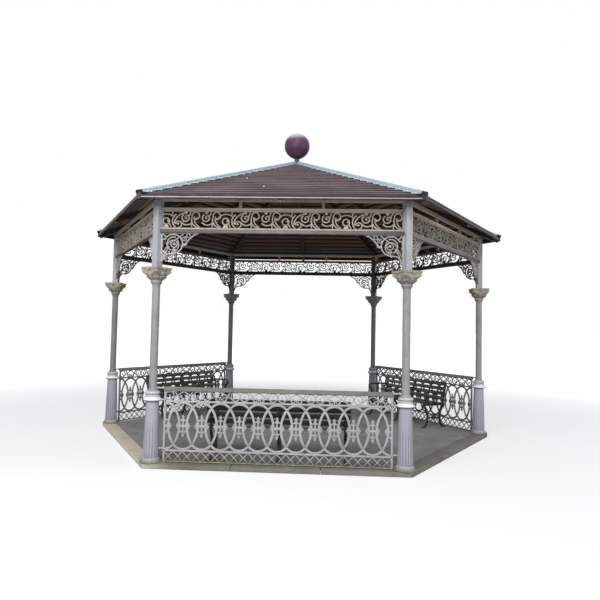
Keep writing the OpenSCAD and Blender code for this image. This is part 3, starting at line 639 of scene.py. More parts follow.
def sheet_top(finish, colour, outward_x, outward_y):
    """Weather, painted shade and highlight on the upper face; gives back how far out a point lies on the
    slope.
    """
    out = finish.along((outward_x, outward_y, 0.0))
    finish.patches(0.9, 0.38, 0.66, tone(colour, 1.13), 0.6, detail=5)
    finish.patches(3.2, 0.46, 0.72, tone(colour, 0.8), 0.55, detail=6)
    wash = finish.node("ShaderNodeCombineXYZ")
    finish.put(wash.inputs[0], finish.times(finish.along((-outward_y, outward_x, 0.0)), 7.0))
    finish.put(wash.inputs[1], finish.times(out, 0.7))
    finish.coat(finish.cloud(1.0, 0.5, 0.75, detail=5, vector=wash.outputs[0]), (128, 116, 116), 0.35)
    # The pans are painted dark, a painted shade at the foot of each rib.
    pan_shade = finish.bands(out, RIB_0 - RIB_STEP * 0.36, RIB_STEP, 0.034, 0.012)
    finish.coat(finish.times(pan_shade, finish.up(0.8, 0.9)), (62, 52, 56), 0.75)
    over = finish.along((outward_x * math.sin(PITCH), outward_y * math.sin(PITCH), math.cos(PITCH)))
    # The flanks are painted dark, a painted shade, and their upper edges paler, a painted highlight.
    flanks = finish.rest(finish.up(0.55, 0.8))
    finish.coat(flanks, tone(colour, 0.36), 0.95)
    upper = finish.level(over, ROOF_CREST - 0.0080, ROOF_CREST - 0.0050)
    finish.coat(finish.times(flanks, upper), tone(colour, 1.12), 0.95)
    # The crests are painted paler, with dust and a painted highlight.
    crest_dust_and_highlight = finish.bands(out, RIB_0, RIB_STEP, RIB_HALF, 0.004)
    worn = finish.sum("ADD", finish.times(finish.cloud(4.0, 0.35, 0.7), 0.55), 0.45)
    finish.coat(finish.times(crest_dust_and_highlight, worn, finish.up(0.8, 0.9)), (142, 128, 134), 0.75)
    return out


print(f"ribs every {RIB_STEP:.3f} m, crests {ROOF_CREST:.3f} m up the slope's normal")

# %% [markdown]
# From below, the sheet shows bare and brown. Daylight catches one flank of each rib and leaves the other
# in the dark, and the overhang outside the friezes is grey with weather.

# %% Mix the underside and finish the six slopes
def roof_finish(side, colour):
    angle = math.radians(SIDES[side] - 90)
    finish = Finish("roof_" + side + "_sheet", colour, rough=0.6, specular=0.25)
    out = sheet_top(finish, colour, math.cos(angle), math.sin(angle))
    below = finish.down(0.2, 0.7)
    finish.coat(below, (110, 80, 68), 0.96)
    lit_flanks = finish.bands(out, RIB_0 - 0.016, RIB_STEP, 0.014, 0.004)
    finish.coat(finish.times(below, lit_flanks), (204, 166, 134), 0.8)
    dark_flanks = finish.bands(out, RIB_0 + 0.022, RIB_STEP, 0.02, 0.008)
    finish.coat(finish.times(below, dark_flanks), (40, 28, 24), 0.8)
    overhang = finish.level(out, SIDE_A - 0.04, SIDE_A + 0.02)
    finish.coat(finish.times(below, overhang), (88, 84, 82), 0.9)
    rust = finish.times(finish.cloud(40.0, 0.6, 0.72, detail=6), finish.cloud(2.5, 0.5, 0.7))
    finish.coat(rust, (104, 66, 50), 0.4)
    finish.grain(120.0, 0.0008, 0.3)
    finish.shine(2.0, 0.45, 0.7)
    return finish.done()


# Slopes other than the front are painted darker, a painted shade.
for side in SIDES:
    coats["roof_" + side] = roof_finish(side, (98, 82, 86) if side == "front" else (88, 80, 84))
print("six roof finishes mixed")

# %% [markdown]
# The flashing along the hips is galvanised sheet in a pale sea-green. Its folded corners, which
# lie furthest out, are bare dark metal, and so is the edge that turns down under it.

# %% Mix the flashing and the dark edges
flashing = Finish("hip_flashing", (164, 196, 205), rough=0.42, specular=0.3)
flashing.patches(1.6, 0.4, 0.62, (186, 194, 206), 0.7)
flashing.patches(9.0, 0.52, 0.76, (128, 150, 160), 0.5, detail=6)
flashing.patches(26.0, 0.6, 0.75, (98, 92, 92), 0.4, detail=6)
level_place = flashing.vector_sum("MULTIPLY", flashing.place, (1.0, 1.0, 0.0)).outputs[0]
reach_out = flashing.vector_sum("LENGTH", level_place).outputs["Value"]
corner = EAVE_A / math.cos(MITRE)
flashing.coat(flashing.level(reach_out, corner - 0.062, corner - 0.054), (34, 31, 37))
flashing.coat(flashing.down(0.2, 0.7), (50, 44, 46), 0.9)
flashing.grain(18.0, 0.0025, 0.3)
flashing.shine(7.0, 0.3, 0.5)

# The fascia is dark purple-brown, painted darker still, a painted shade under the sheet's edge.
edge = Finish("eave_edge", (40, 31, 33), rough=0.7, specular=0.25)
edge.patches(3.0, 0.42, 0.66, (52, 42, 45), 0.6)
edge.patches(20.0, 0.55, 0.75, (30, 26, 29), 0.6, detail=6)
edge.coat(edge.down(0.2, 0.7), (40, 33, 31), 0.9)
edge.grain(50.0, 0.001, 0.4)
edge.shine(5.0, 0.42, 0.66)
print("hip corners lie", round(corner, 3), "m out")

# %% [markdown]
# The turned-down lip of the sheet is pale at the front and the back and painted dark at the other sides,
# a painted shade. The ball is enamelled a deep plum with a pale, pinkish top, a painted highlight; its
# neck is rusting. The screws are zinc.

# %% Mix the lip, ball, neck and screw finishes
def drip_finish(name, colour, fresh, dull):
    drip = Finish(name, colour, rough=0.42)
    drip.patches(4.0, 0.45, 0.7, fresh, 0.6)
    drip.patches(13.0, 0.54, 0.74, dull, 0.6, detail=6)
    drip.grain(40.0, 0.0008, 0.3)
    return drip.done()


drip_edge = drip_finish("drip_edge", (166, 157, 163), (188, 181, 187), (118, 106, 112))
drip_edge_shaded = drip_finish("drip_edge_shaded", (84, 76, 82), (112, 104, 110), (52, 46, 50))
ball = Finish("ball_enamel", (80, 46, 78))
ball.patches(3.4, 0.4, 0.66, (92, 58, 88), 0.6)
ball.patches(14.0, 0.54, 0.76, (60, 46, 60), 0.5, detail=6)
# The top is painted pinkish and then near white, a painted highlight.
ball.coat(ball.level(ball.facing((-0.05, -0.2, 0.98)), 0.2, 0.75), (140, 98, 130), 0.55)
ball.coat(ball.level(ball.facing((-0.05, -0.16, 0.99)), 0.44, 0.9), (224, 226, 236), 0.95)
ball.grain(9.0, 0.003, 0.25)
ball.shine(8.0, 0.46, 0.6)
neck = Finish("neck_paint", (58, 46, 64), coat=0.1)
neck.patches(9.0, 0.42, 0.66, (78, 66, 84), 0.6)
neck.patches(26.0, 0.55, 0.75, (92, 60, 48), 0.4, detail=6)
neck.grain(50.0, 0.001, 0.4)
zinc = Finish("screw_zinc", (226, 227, 230), rough=0.4)
zinc.patches(60.0, 0.5, 0.75, (176, 174, 176), 0.6)
zinc.grain(200.0, 0.0004, 0.3)
screw_zinc = zinc.done()
print("roof trim finishes mixed")

# %% [markdown]
# Benches are painted a deep bottle green, worn to grey along the top edges where people sit. The floor
# is trowelled cement, dark with use inside and lighter where the rain washes it; the kerb is paler,
# rougher and stained along its foot, and dusty on the side where a path comes up.

# %% Mix the bench green and the concrete
green = Finish("bottle_green", (26, 40, 28), rough=0.45, coat=0.15)
green.patches(4.0, 0.42, 0.66, (34, 52, 36), 0.6)
green.patches(16.0, 0.52, 0.74, (22, 30, 20), 0.6, detail=6)
green.coat(green.times(green.up(0.5, 0.95), green.cloud(20.0, 0.5, 0.7)), (104, 106, 92), 0.4)
green.grain(45.0, 0.001, 0.4)
green.shine(9.0, 0.32, 0.6)
bench_green = green.done()
DUSTY_X = -1.2


def concrete(name, colour, stain, dusty=None):
    finish = Finish(name, colour, rough=0.88)
    finish.patches(0.8, 0.4, 0.62, tone(colour, 1.12), 0.7, detail=6)
    finish.patches(2.6, 0.46, 0.7, tone(colour, 0.82), 0.7, detail=8)
    finish.patches(7.0, 0.56, 0.74, stain, 0.4, detail=8)
    finish.coat(finish.specks(130.0, 0.28), tone(colour, 0.7), 0.4)
    finish.coat(finish.specks(85.0, 0.2), tone(colour, 1.3), 0.4)
    if dusty:
        dusty_end = finish.level(finish.minus(DUSTY_X, finish.axis("X")), 0.0, 0.7)
        finish.coat(finish.times(dusty_end, finish.cloud(2.0, 0.1, 0.4)), dusty, 0.95)
    cracks = finish.node("ShaderNodeTexVoronoi", feature="DISTANCE_TO_EDGE")
    finish.put(cracks.inputs["Vector"], finish.place)
    cracks.inputs["Scale"].default_value = 0.9
    line = finish.rest(finish.level(cracks.outputs["Distance"], 0.003, 0.008))
    finish.coat(finish.times(line, finish.cloud(1.4, 0.48, 0.6)), (70, 68, 64), 0.35)
    finish.grain(40.0, 0.004, 0.5, 0.2, 0.8, detail=8)
    finish.grain(240.0, 0.001, 0.4)
    return finish.done()


floor_cement = concrete("floor_cement", (138, 137, 136), (100, 94, 82))
kerb_cement = concrete("kerb_cement", (122, 119, 114), (98, 96, 76), dusty=(214, 204, 188))
mortar_mix = concrete("foot_mortar", (124, 124, 92), (104, 112, 56))
print("green and concrete mixed")

# %% [markdown]
# Each solid part is painted whole, as it would be before it is put up. Parts of a kind share a finish,
# so they are found by the beginning of their names.

# %% Paint the solid parts
coats.update({"frieze_": frieze_paint, "brackets_": bracket_paint, "railing_": railing_paint,
              "bench_": bench_green, "floor_slab": floor_cement, "kerb": kerb_cement,
              "upper_posts": post_paint, "ring_beam": beam_lit_paint, "eave_studs": beam_lit_paint,
              "hip_rafters": rafter_paint, "mid_rafters": rafter_paint, "apex_hub": rafter_paint,
              "fascia": edge.done(), "finial_neck": neck.done(), "finial_ball": ball.done(),
              "hip_caps": flashing.done()})
painted = 0
for start, finish in coats.items():
    for part in [nodes[name] for name in nodes if name.startswith(start)]:
        painted += len(part.material_slots)
        for slot in part.material_slots:
            slot.material = finish
print(painted, "slots painted of", sum(len(part.material_slots) for part in nodes.values()))

# %% [markdown]
# The floor under the part is a wide pale disc that only stands in for the studio. It is lit by what
# falls on it, so it keeps the shadow, and it glows a little for the camera so that it meets the white
# of the sky without a line.

# %% Lay the studio floor
nothing()
bpy.ops.mesh.primitive_circle_add(vertices=96, radius=7.0, fill_type="NGON", location=(0, 0, -0.001))
studio = bpy.context.object
studio.name = "studio_floor"
edit()
pick("EDGE", lambda edge: True)
for width in (2.2, 5.0, 12.0):
    bpy.ops.mesh.extrude_edges_move()
    bpy.ops.transform.resize(value=(width, width, 1))
close()
card = bpy.data.materials.new("studio_card")
card.use_nodes = True
tree = card.node_tree
matt = tree.nodes["Principled BSDF"]
for key, value in {"Base Color": (0.6, 0.6, 0.6, 1), "Roughness": 1.0, "Specular IOR Level": 0.0}.items():
    matt.inputs[key].default_value = value
glow = tree.nodes.new("ShaderNodeEmission")
seen = tree.nodes.new("ShaderNodeLightPath")
spot = tree.nodes.new("ShaderNodeTexCoord")
span = tree.nodes.new("ShaderNodeVectorMath")
span.operation = "LENGTH"
reach = tree.nodes.new("ShaderNodeMapRange")
reach.interpolation_type = "SMOOTHSTEP"
for key, value in {"From Min": 5.0, "From Max": 16.0, "To Min": 0.5, "To Max": 1.0}.items():
    reach.inputs[key].default_value = value
only_seen = tree.nodes.new("ShaderNodeMath")
only_seen.operation = "MULTIPLY"
both = tree.nodes.new("ShaderNodeAddShader")
for start, end in ((spot.outputs["Object"], span.inputs[0]), (span.outputs["Value"], reach.inputs["Value"]),
                   (reach.outputs["Result"], only_seen.inputs[0]),
                   (seen.outputs["Is Camera Ray"], only_seen.inputs[1]),
                   (only_seen.outputs[0], glow.inputs["Strength"]), (matt.outputs[0], both.inputs[0]),
                   (glow.outputs[0], both.inputs[1]),
                   (both.outputs[0], tree.nodes["Material Output"].inputs["Surface"])):
    tree.links.new(start, end)
studio.data.materials.append(card)
print("studio floor", len(studio.data.polygons), "faces")

# %% [markdown]
# Cast scrollwork is drawn with strokes: arcs, straight bars, rings and round buds. In the mould each
# stroke is half round, so it is thicker along its middle than at its edges. A round section spun about
# the centre of an arc gives that crown over the flat stroke of the solid part, on both faces at once.
# The tools below work in the plane of a side, x along it and z up, in millimetres.

# %% Tools for cast strokes
def section(x, z, angle, width, depth):
    """A filled oval section at (x, z), square to the stroke's direction; angle is that of its radius."""
    bpy.ops.mesh.select_all(action="DESELECT")
    bpy.ops.mesh.primitive_circle_add(vertices=8, radius=width / 2 * MM, fill_type="NGON",
                                      location=(x * MM, 0, z * MM), rotation=(0, -math.radians(angle), 0))
    bpy.ops.transform.resize(value=(1, depth / width, 1))


def arc(x, z, radius, start, end, width, depth, step=15):
    """A bead along an arc about (x, z), from one angle to the other."""
    at = math.radians(start)
    section(x + radius * math.cos(at), z + radius * math.sin(at), start, width, depth)
    bpy.ops.mesh.spin(steps=max(2, round(abs(end - start) / step)), angle=math.radians(end - start),
                      center=(x * MM, 0, z * MM), axis=(0, 1, 0))


def bar(x0, z0, x1, z1, width, depth):
    """A straight bead from one point to the other."""
    section(x0, z0, math.degrees(math.atan2(z1 - z0, x1 - x0)) - 90, width, depth)
    pull((x1 - x0) * MM, 0, (z1 - z0) * MM)


def bud(x, z, radius, depth):
    """A round bud, flattened to the thickness of the casting."""
    bpy.ops.mesh.select_all(action="DESELECT")
    bpy.ops.mesh.primitive_uv_sphere_add(segments=10, ring_count=6, radius=radius * MM,
                                         location=(x * MM, 0, z * MM), rotation=(math.pi / 2, 0, 0))
    bpy.ops.transform.resize(value=(1, depth / (2 * radius), 1))


def cast(strokes, depth, dx=0.0, swell=1.0):
    """Runs through a list of strokes: (x, z, r, a0, a1, w) is an arc, (x0, z0, x1, z1, w) a bar,
    (x, z, r, w) a ring and (x, z, r) a bud. swell widens them all for the coats of paint."""
    for x, z, *shape in strokes:
        if len(shape) == 4:
            radius, start, end, width = shape
            arc(x + dx, z, radius, start, end, width * swell, depth)
        elif len(shape) == 3:
            bar(x + dx, z, shape[0] + dx, shape[1], shape[2] * swell, depth)
        elif len(shape) == 2:
            arc(x + dx, z, shape[0], 0, 360, shape[1] * swell, depth)
        else:
            bud(x + dx, z, shape[0], depth + 2)


def finish_casting(piece, limits=()):
    """Merges doubles, clears the walls left inside where a ring or two arcs close, and cuts off what
    passes the frame of the casting."""
    everything()
    bpy.ops.mesh.remove_doubles(threshold=0.00005)
    bpy.ops.mesh.select_all(action="DESELECT")
    bpy.ops.mesh.select_interior_faces()
    bpy.ops.mesh.delete(type="FACE")
    for point, normal in limits:
        cut(point, normal)
    outward()
    close()
    bpy.ops.object.shade_smooth()
    return piece


print("stroke tools ready")

# %% [markdown]
# One frieze panel is a running scroll: an open ring on a mound, a fanned leaf, and two turns of scroll
# with looped stems between them. The strokes are those of the solid part, and swell a little past it.

# %% Cast one frieze panel
SIDE = COLUMN_R / MM
POST_X = 45 / math.cos(MITRE)
PANEL = (SIDE - 2 * POST_X) / 4
SPREAD = PANEL / 745
FRIEZE_DEEP, FRIEZE_SWELL = 24, 1.22
RING_GROUP = [(0, 82, 41, 14), (0, 10, 30), (24, 87, 13), (34, 60, 66, -4, 12), (5, 60, 114, 40, 148, 14),
              (74, 148, 84, 206, 14)]
FAN_LEAF = [(0, 85, 98, 126, 238, 14), (-57, 164, 10), (75, 38, 149, 96, 172, 14), (-71, 60, 10),
            (-20, 44, 39, -90, 172, 12.6), (-25, 50, 13), (-25, 50, -60, 50, 10), (49, 180, 65, 206, 14)]
SCROLL_TURN = [(0, 125, 45, 128, 405, 14), (-28, 160, 10), (21, 130, 23, -30, 215, 11.2), (7, 122, 11),
               (44, 138, 72, 206, 12.6), (6, 192, 18), (18, 118, 84, 224, 320, 14), (-42, 60, 10),
               (79, 62, 82, -2, 14)]
STEM_TURN = [(0, 153, 46, -80, 200, 14), (2, 112, 13), (50, 104, 103, 152, 275, 14),
             (96, 118, 116, 168, 246, 11.9), (2, 112, -18, 128, 11.2)]
panel = new_bench("frieze_panel")
for strokes, along_x in ((RING_GROUP, 0), (FAN_LEAF, 175), (SCROLL_TURN, 240), (SCROLL_TURN, 497),
                         (STEM_TURN, 370), (STEM_TURN, 633)):
    cast(strokes, FRIEZE_DEEP, along_x * SPREAD, FRIEZE_SWELL)
finish_casting(panel, [((0, 0, -0.004), (0, 0, -1)), ((0, 0, 0.210), (0, 0, 1))])
print("frieze panel", len(panel.data.polygons), "faces")

# %% [markdown]
# Four panels fill a side. They are joined, laid into the band between the chords and sawn off at the
# posts, and the side is copied round the hexagon.

# %% Lay the panels and copy the side round
row = [panel] + [copy_at(panel, Matrix.Translation((i * PANEL * MM, 0, 0))) for i in range(1, 4)]
side_beads = join(row)
FIRST_X = (-SIDE / 2 + POST_X + 50 * SPREAD) * MM
BAND_Z = FRIEZE_Z0 + (35 + 32) * MM
POST_FACE = (SIDE / 2 - POST_X) * MM
only(side_beads)
edit()
bpy.ops.transform.translate(value=(FIRST_X, -SIDE_A, BAND_Z))
for m in (-1, 1):
    cut((m * POST_FACE, 0, 0), (m, 0, 0))
close()
seat_round(side_beads, "frieze_beads_", frieze_paint)
print("frieze beads", len(side_beads.data.polygons), "faces a side")

# %% [markdown]
# The brackets under the friezes hold one great scroll with an eye, a cusped foot on the post and small
# rings towards the tip. The beads are cast once for the left hand, mirrored for the right hand, and the
# pair is copied round. Mirroring turns a mesh inside out, so its normals are made to point outwards.

# %% Cast the bracket beads
BRACKET_DEEP, BRACKET_DROP, BRACKET_SWELL = 27, 362, 1.15
BRACKET = [(560, -262, 280, 108, 151, 15), (314, -122, 13), (301, -145, 15), (283, -151, 13), (268, -146, 12),
           (145, -138, 119, -100, 150, 15), (42, -78, 12), (152, -138, 86, 80, 238, 13.5), (168, -54, 10),
           (107, -211, 10), (96, -128, 90, 140, 215, 12), (120, -150, 97, -56, 48, 12), (174, -230, 10),
           (158, -141, 42, 12.75), (158, -138, 17), (158, -138, 196, -160, 10.5),
           (150, -172, 80, 78, 200, 12), (272, -14, 166, -94, 13.5), (158, -180, 152, -250, 12),
           (171, -212, 12), (140, -212, 12),
           (113, -360, 100, 72, 186, 15), (141, -264, 13), (92, -176, 6, -336, 12), (56, -190, 2, -290, 10.5),
           (56, -190, 9), (93, -176, 10), (56, -56, 2, -4, 15), (334, -34, 22, 9.75), (286, -74, 25, 9.75),
           (286, -74, 8), (286, -70, 312, -50, 10.5), (268, -88, 250, -96, 10.5), (306, -90, 330, -100, 10.5),
           (352, -20, 362, -4, 10.5)]
left_hand = new_bench("bracket_left_hand")
cast(BRACKET, BRACKET_DEEP, POST_X, BRACKET_SWELL)
finish_casting(left_hand, [((0, 0, -0.002), (0, 0, 1)), ((0, 0, -BRACKET_DROP * MM), (0, 0, -1)),
                           ((POST_X * MM - 0.004, 0, 0), (-1, 0, 0))])
right_hand = copy_at(left_hand, Matrix.Scale(-1, 4, (1, 0, 0)))
edit()
outward()
close()
pair = join([copy_at(hand, Matrix.Translation((m * SIDE / 2 * MM, -SIDE_A, FRIEZE_Z0)))
             for hand, m in ((left_hand, -1), (right_hand, 1))])
for pattern in (left_hand, right_hand):
    bpy.data.objects.remove(pattern)
seat_round(pair, "bracket_beads_", bracket_paint)
print("bracket beads", len(pair.data.polygons), "faces a pair")

# %% [markdown]
# A railing is a row of interlaced ovals tied by ribbon knots. An oval of four arcs is tangent all round,
# so it looks turned rather than bent: two close arcs at its ends, two wide ones at its sides.

# %% Draw the ovals and knots
RAIL_L, OVALS, CROSSES = SIDE - 2 * 160, 12, 24
OVAL_STEP = RAIL_L / OVALS
END_R, SIDE_R, JOIN_A, OVAL_A, OVAL_B = 141.36, 385.23, 35.22, 282, 186
OVAL = []
for half in (0, 180):
    flip = -1 if half else 1
    OVAL.append((0, flip * (OVAL_A - END_R), END_R, JOIN_A - 2 + half, 182 - JOIN_A + half, 26))
    OVAL.append((flip * (OVAL_B - SIDE_R), 0, SIDE_R, -JOIN_A - 1 + half, JOIN_A + 1 + half, 26))
KNOT = [(0, -112, 0, 112, 17), (-70, 0, 70, 0, 30)]
for m in (-1, 1):
    gap = OVAL_STEP - OVAL_B
    KNOT += [(0, m * 108, 16), (0, m * 127, 10), (-gap, m * 68, gap, m * 68, 14)]
    KNOT += [(m * 15, 80, 9), (m * 15, -80, 9), (m * 76, 0, 14), (m * 67, 26, 11), (m * 67, -26, 11)]
    KNOT += [(m * 40, 8, m * 66, 26, 20), (m * 40, -8, m * 66, -26, 20)]
print(len(OVAL), "strokes an oval,", len(KNOT), "a knot, every", round(OVAL_STEP), "mm")

# %% [markdown]
# Hearts of scrolls run under the handrail, two ovals wide each, made of a left and a right half that
# mirror each other.

# %% Draw the hearts
HEART_HIGH = 118


def swing(m, x, z, radius, start, end, width):
    """An arc of the right half, or its mirror image for the left half."""
    if m > 0:
        return (x, z, radius, start, end, width)
    return (-x, z, radius, 180 - end, 180 - start, width)


HEART = [(0, 24, 10), (0, -2, 0, 24, 10), (0, 112, 12)]
for m in (-1, 1):
    p, h = OVAL_STEP, HEART_HIGH
    HEART += [swing(m, p * 0.755, h * 0.5, h * 0.44, -130, 172, 12),
              swing(m, p * 0.755 - h * 0.21, h * 0.5, h * 0.23, 165, 372, 10.2)]
    HEART += [(m * (p * 0.755 + h * 0.01), h * 0.53, 9), (m * p * 0.63, h * 0.17, 0, h * 0.96, 12)]
    HEART += [(m * p * 0.5, h, m * p * 0.19, h * 0.04, 10.8), (m * p * 0.19, h * 0.23, h * 0.2, 9.6)]
print(len(HEART), "strokes a heart")

# %% [markdown]
# One oval with its knot, one heart and one cross of the lattice at the foot are cast, repeated along the
# railing, and sawn off at its end bars.

# %% Cast the railing beads
OVAL_MID, HEART_Z, LATTICE_Z, LATTICE_HIGH = 505, 814, 78, 118
OVAL_DEEP, HEART_DEEP, LATTICE_DEEP = 25, 22, 21
END_BAR_IN = 9
cell = RAIL_L / CROSSES
LATTICE = [(0, 0, cell, LATTICE_HIGH, 9), (cell, 0, 0, LATTICE_HIGH, 9)]


def casting_row(name, strokes, depth, xs, z, limits=()):
    """Casts a pattern, copies it to each x along the front side, in millimetres, and removes it."""
    pattern = new_bench(name)
    cast(strokes, depth)
    finish_casting(pattern, limits)
    made = [copy_at(pattern, Matrix.Translation((x * MM, -SIDE_A, z * MM))) for x in xs]
    bpy.data.objects.remove(pattern)
    return made


starts = [-RAIL_L / 2 + i * OVAL_STEP for i in range(OVALS + 1)]
heart_ends = [((0, 0, 0), (0, 0, -1)), ((0, 0, HEART_HIGH * MM), (0, 0, 1))]
beads = casting_row("oval", OVAL + KNOT, OVAL_DEEP, starts, OVAL_MID)
beads += casting_row("heart", HEART, HEART_DEEP, starts[1::2], HEART_Z, heart_ends)
cells = [-RAIL_L / 2 + i * cell for i in range(CROSSES)]
beads += casting_row("cross", LATTICE, LATTICE_DEEP, cells, LATTICE_Z)
railing = join(beads)
edit()
for m in (-1, 1):
    cut((m * (RAIL_L / 2 + END_BAR_IN) * MM, 0, 0), (m, 0, 0))
close()
seat_round(railing, "railing_beads_", railing_paint, RAILED)
print("railing beads", len(railing.data.polygons), "faces a railing")

# %% [markdown]
# The handrail is a moulding: a broad foot with a rounded top roll. A bar is bevelled along its edges,
# its top is inset and raised, and the raised part is rounded again. The plain bars of the railing get
# the same treatment on a smaller scale, without the roll.

# %% Mould the handrails and their bars
def moulding(name, length, depth, height, place, roll=0, lift=0):
    """A bar along x with bevelled edges; roll is the inset of the raised top part and lift its height."""
    bar_piece = block((length * MM, depth * MM, height * MM), place)
    bar_piece.name = name
    bpy.ops.object.mode_set(mode="EDIT")
    if lift:
        pick("FACE", lambda face: face.normal.z > 0.9)
        bpy.ops.mesh.inset(thickness=roll * MM)
        pull(0, 0, lift * MM)
    pick("EDGE", lambda edge: run_x(edge) > length * MM * 0.8)
    bpy.ops.mesh.bevel(offset=min(depth, height) * 0.1 * MM, segments=3)
    close()
    smooth(bar_piece, 50)
    return bar_piece


LOW_BAR_Z, HIGH_BAR_Z, END_BAR_Z, END_BAR_HIGH = 0.206, 0.804, 0.496, 872
rail = moulding("handrail", RAIL_L + 22, 56, 34, (0, -SIDE_A, RAIL_TOP - 0.046 + 0.017), 4, 14)
bars = [moulding("rail_bar", RAIL_L, 24, 22, (0, -SIDE_A, z)) for z in (LOW_BAR_Z, HIGH_BAR_Z)]
upended = Matrix.Rotation(math.pi / 2, 4, "Y")
for m in (-1, 1):
    end_bar = moulding("end_bar", END_BAR_HIGH, 24, 25, (0, 0, 0))
    end_bar.matrix_world = Matrix.Translation((m * RAIL_L / 2 * MM, -SIDE_A, END_BAR_Z)) @ upended
    bars.append(end_bar)
rail_bars = join(bars)
for piece, name, finish in ((rail, "handrail_", handrail_shaded_paint), (rail_bars, "rail_bars_", railing_paint)):
    only(piece)
    apply_place()
    seat_round(piece, name, finish, RAILED)
print("handrail", len(rail.data.polygons), "faces, its bars", len(rail_bars.data.polygons))

# %% [markdown]
# Each frieze has a chord above and one below, of two bars, a broad one and a fillet. The bars are sawn
# to the faces of the square posts, which stand at a mitre to the side, one at a time, so that each cut
# closes cleanly.

# %% Mould the chords of the friezes
CHORD_L = SIDE - 2 * POST_X + 60
# The lower chord is painted darker, a painted shade; the upper one paler, painted light.
CHORDS = {"lower_chord_": (lower_chord_shaded_paint, [(66, 37, FRIEZE_Z0 + 0.0175), (34, 12, FRIEZE_Z0 + 0.041)]),
          "upper_chord_": (upper_chord_lit_paint, [(64, 27, FRIEZE_Z1 - 0.0130), (32, 10, FRIEZE_Z1 - 0.031)])}
for chord_name, (finish, bar_sizes) in CHORDS.items():
    chord_bars = []
    for depth, height, z in bar_sizes:
        chord_bars.append(moulding("chord", CHORD_L, depth, height, (0, -SIDE_A, z)))
        apply_place()
        edit()
        for m in (-1, 1):
            cut((m * (POST_FACE + 0.002), -SIDE_A, 0), (m * math.cos(MITRE), math.sin(MITRE), 0))
        outward()
        close()
    chord = join(chord_bars)
    seat_round(chord, chord_name, finish)
print("chords", len(chord.data.polygons), "faces each")

# %% [markdown]
# Under the eaves runs a folded drip edge, a pale lip that catches the light below the dark ribs. It is
# pale at the front and the back and painted dark at the other sides, a painted shade.

# %% Fold the drip edge
FASCIA_Z0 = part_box("fascia")[0].z
HALF_EAVE = EAVE_A * math.tan(MITRE) - 0.046
lip = moulding("drip_lip", 2 * HALF_EAVE / MM, 5, 12, (0, -EAVE_A - 0.0005, FASCIA_Z0 + 0.0195))
for side, angle in SIDES.items():
    if side != "front":
        # Sides other than the front and back get the dark lip, a painted shade.
        finish = drip_edge if side == "back" else drip_edge_shaded
        settle(copy_at(lip, turn(angle)), "drip_edge_" + side, finish)
settle(lip, "drip_edge_front", drip_edge)
print("drip edge", round(2 * HALF_EAVE, 2), "m a side")

# %% [markdown]
# Roofing screws with pale washers hold the hip flashing to each rib. A screw is modelled once, as a
# flattened dome on its washer, by pulling a disc up and drawing it in.

# %% Shape one roofing screw
def disc(radius, place=(0, 0, 0), vertices=8):
    """A flat disc, open for editing."""
    nothing()
    bpy.ops.mesh.primitive_circle_add(vertices=vertices, radius=radius, fill_type="NGON", location=place)
    made = bpy.context.object
    bpy.ops.object.mode_set(mode="EDIT")
    return made


def draw_in(share):
    bpy.ops.transform.resize(value=(share, share, 1))


screw = disc(0.012, vertices=10)
pull(0, 0, 0.002)
bpy.ops.mesh.inset(thickness=0.002)
pull(0, 0, 0.007)
draw_in(0.8)
pull(0, 0, 0.003)
draw_in(0.5)
outward()
close()
print("screw", round(1000 * screw.dimensions.z), "mm high")

# %% [markdown]
# The screws follow both edges of each hip, one to a rib in the flashing and one in the sheet beside it.
# Each is set by letting a straight line fall on the solid part, and stands square to the surface there.
# Two lone ones hold the front slope.

# %% Set the roof screws
SCREW_ROWS = (("hip_caps", "flashing_screws_", 19, 0.083), ("roof_", "sheet_screws_", 17, 0.121))
LONE_SCREWS = [(-0.5765, 8 * RIB_STEP - RIB_0), (-0.2506, 3 * RIB_STEP - RIB_0)]
NEAREST_X = 0.06


def set_screws(places, name, on):
    """Copies the screw to every place where a falling line meets the part, square to the surface."""
    made = []
    for x, y in places:
        hit, place, normal, _ = nodes[on].ray_cast(Vector((x, y, 9)), Vector((0, 0, -1)))
        if hit and normal.z > 0.7:
            upright = normal.to_track_quat("Z", "Y").to_matrix().to_4x4()
            made.append(copy_at(screw, Matrix.Translation(place - normal * 0.0005) @ upright))
    settle(join(made), name, screw_zinc)
    return len(made)


count = 0
for side, angle in SIDES.items():
    for on, name, rows, inward in SCREW_ROWS:
        spots = []
        for out in [RIB_0 - k * RIB_STEP for k in range(rows)]:
            across_x = out * math.tan(MITRE) - inward
            if across_x > NEAREST_X:
                for m in (-1, 1):
                    spots.append((turn(angle) @ Vector((m * across_x, -out, 0))).xy)
        if on == "roof_":
            on += side
            spots += LONE_SCREWS if side == "front" else []
        count += set_screws(spots, name + side, on)
bpy.data.objects.remove(screw)
print(count, "roof screws")

# %% [markdown]
# Each capital wears cast leaves. A leaf starts as a flat grid. Its rows are moved up and out one by one,
# its midrib is pulled forward and its edge is lobed; then it gets a wall and one subdivision.

# %% Tool for shaping a leaf
LIFT_CLEAR = 40


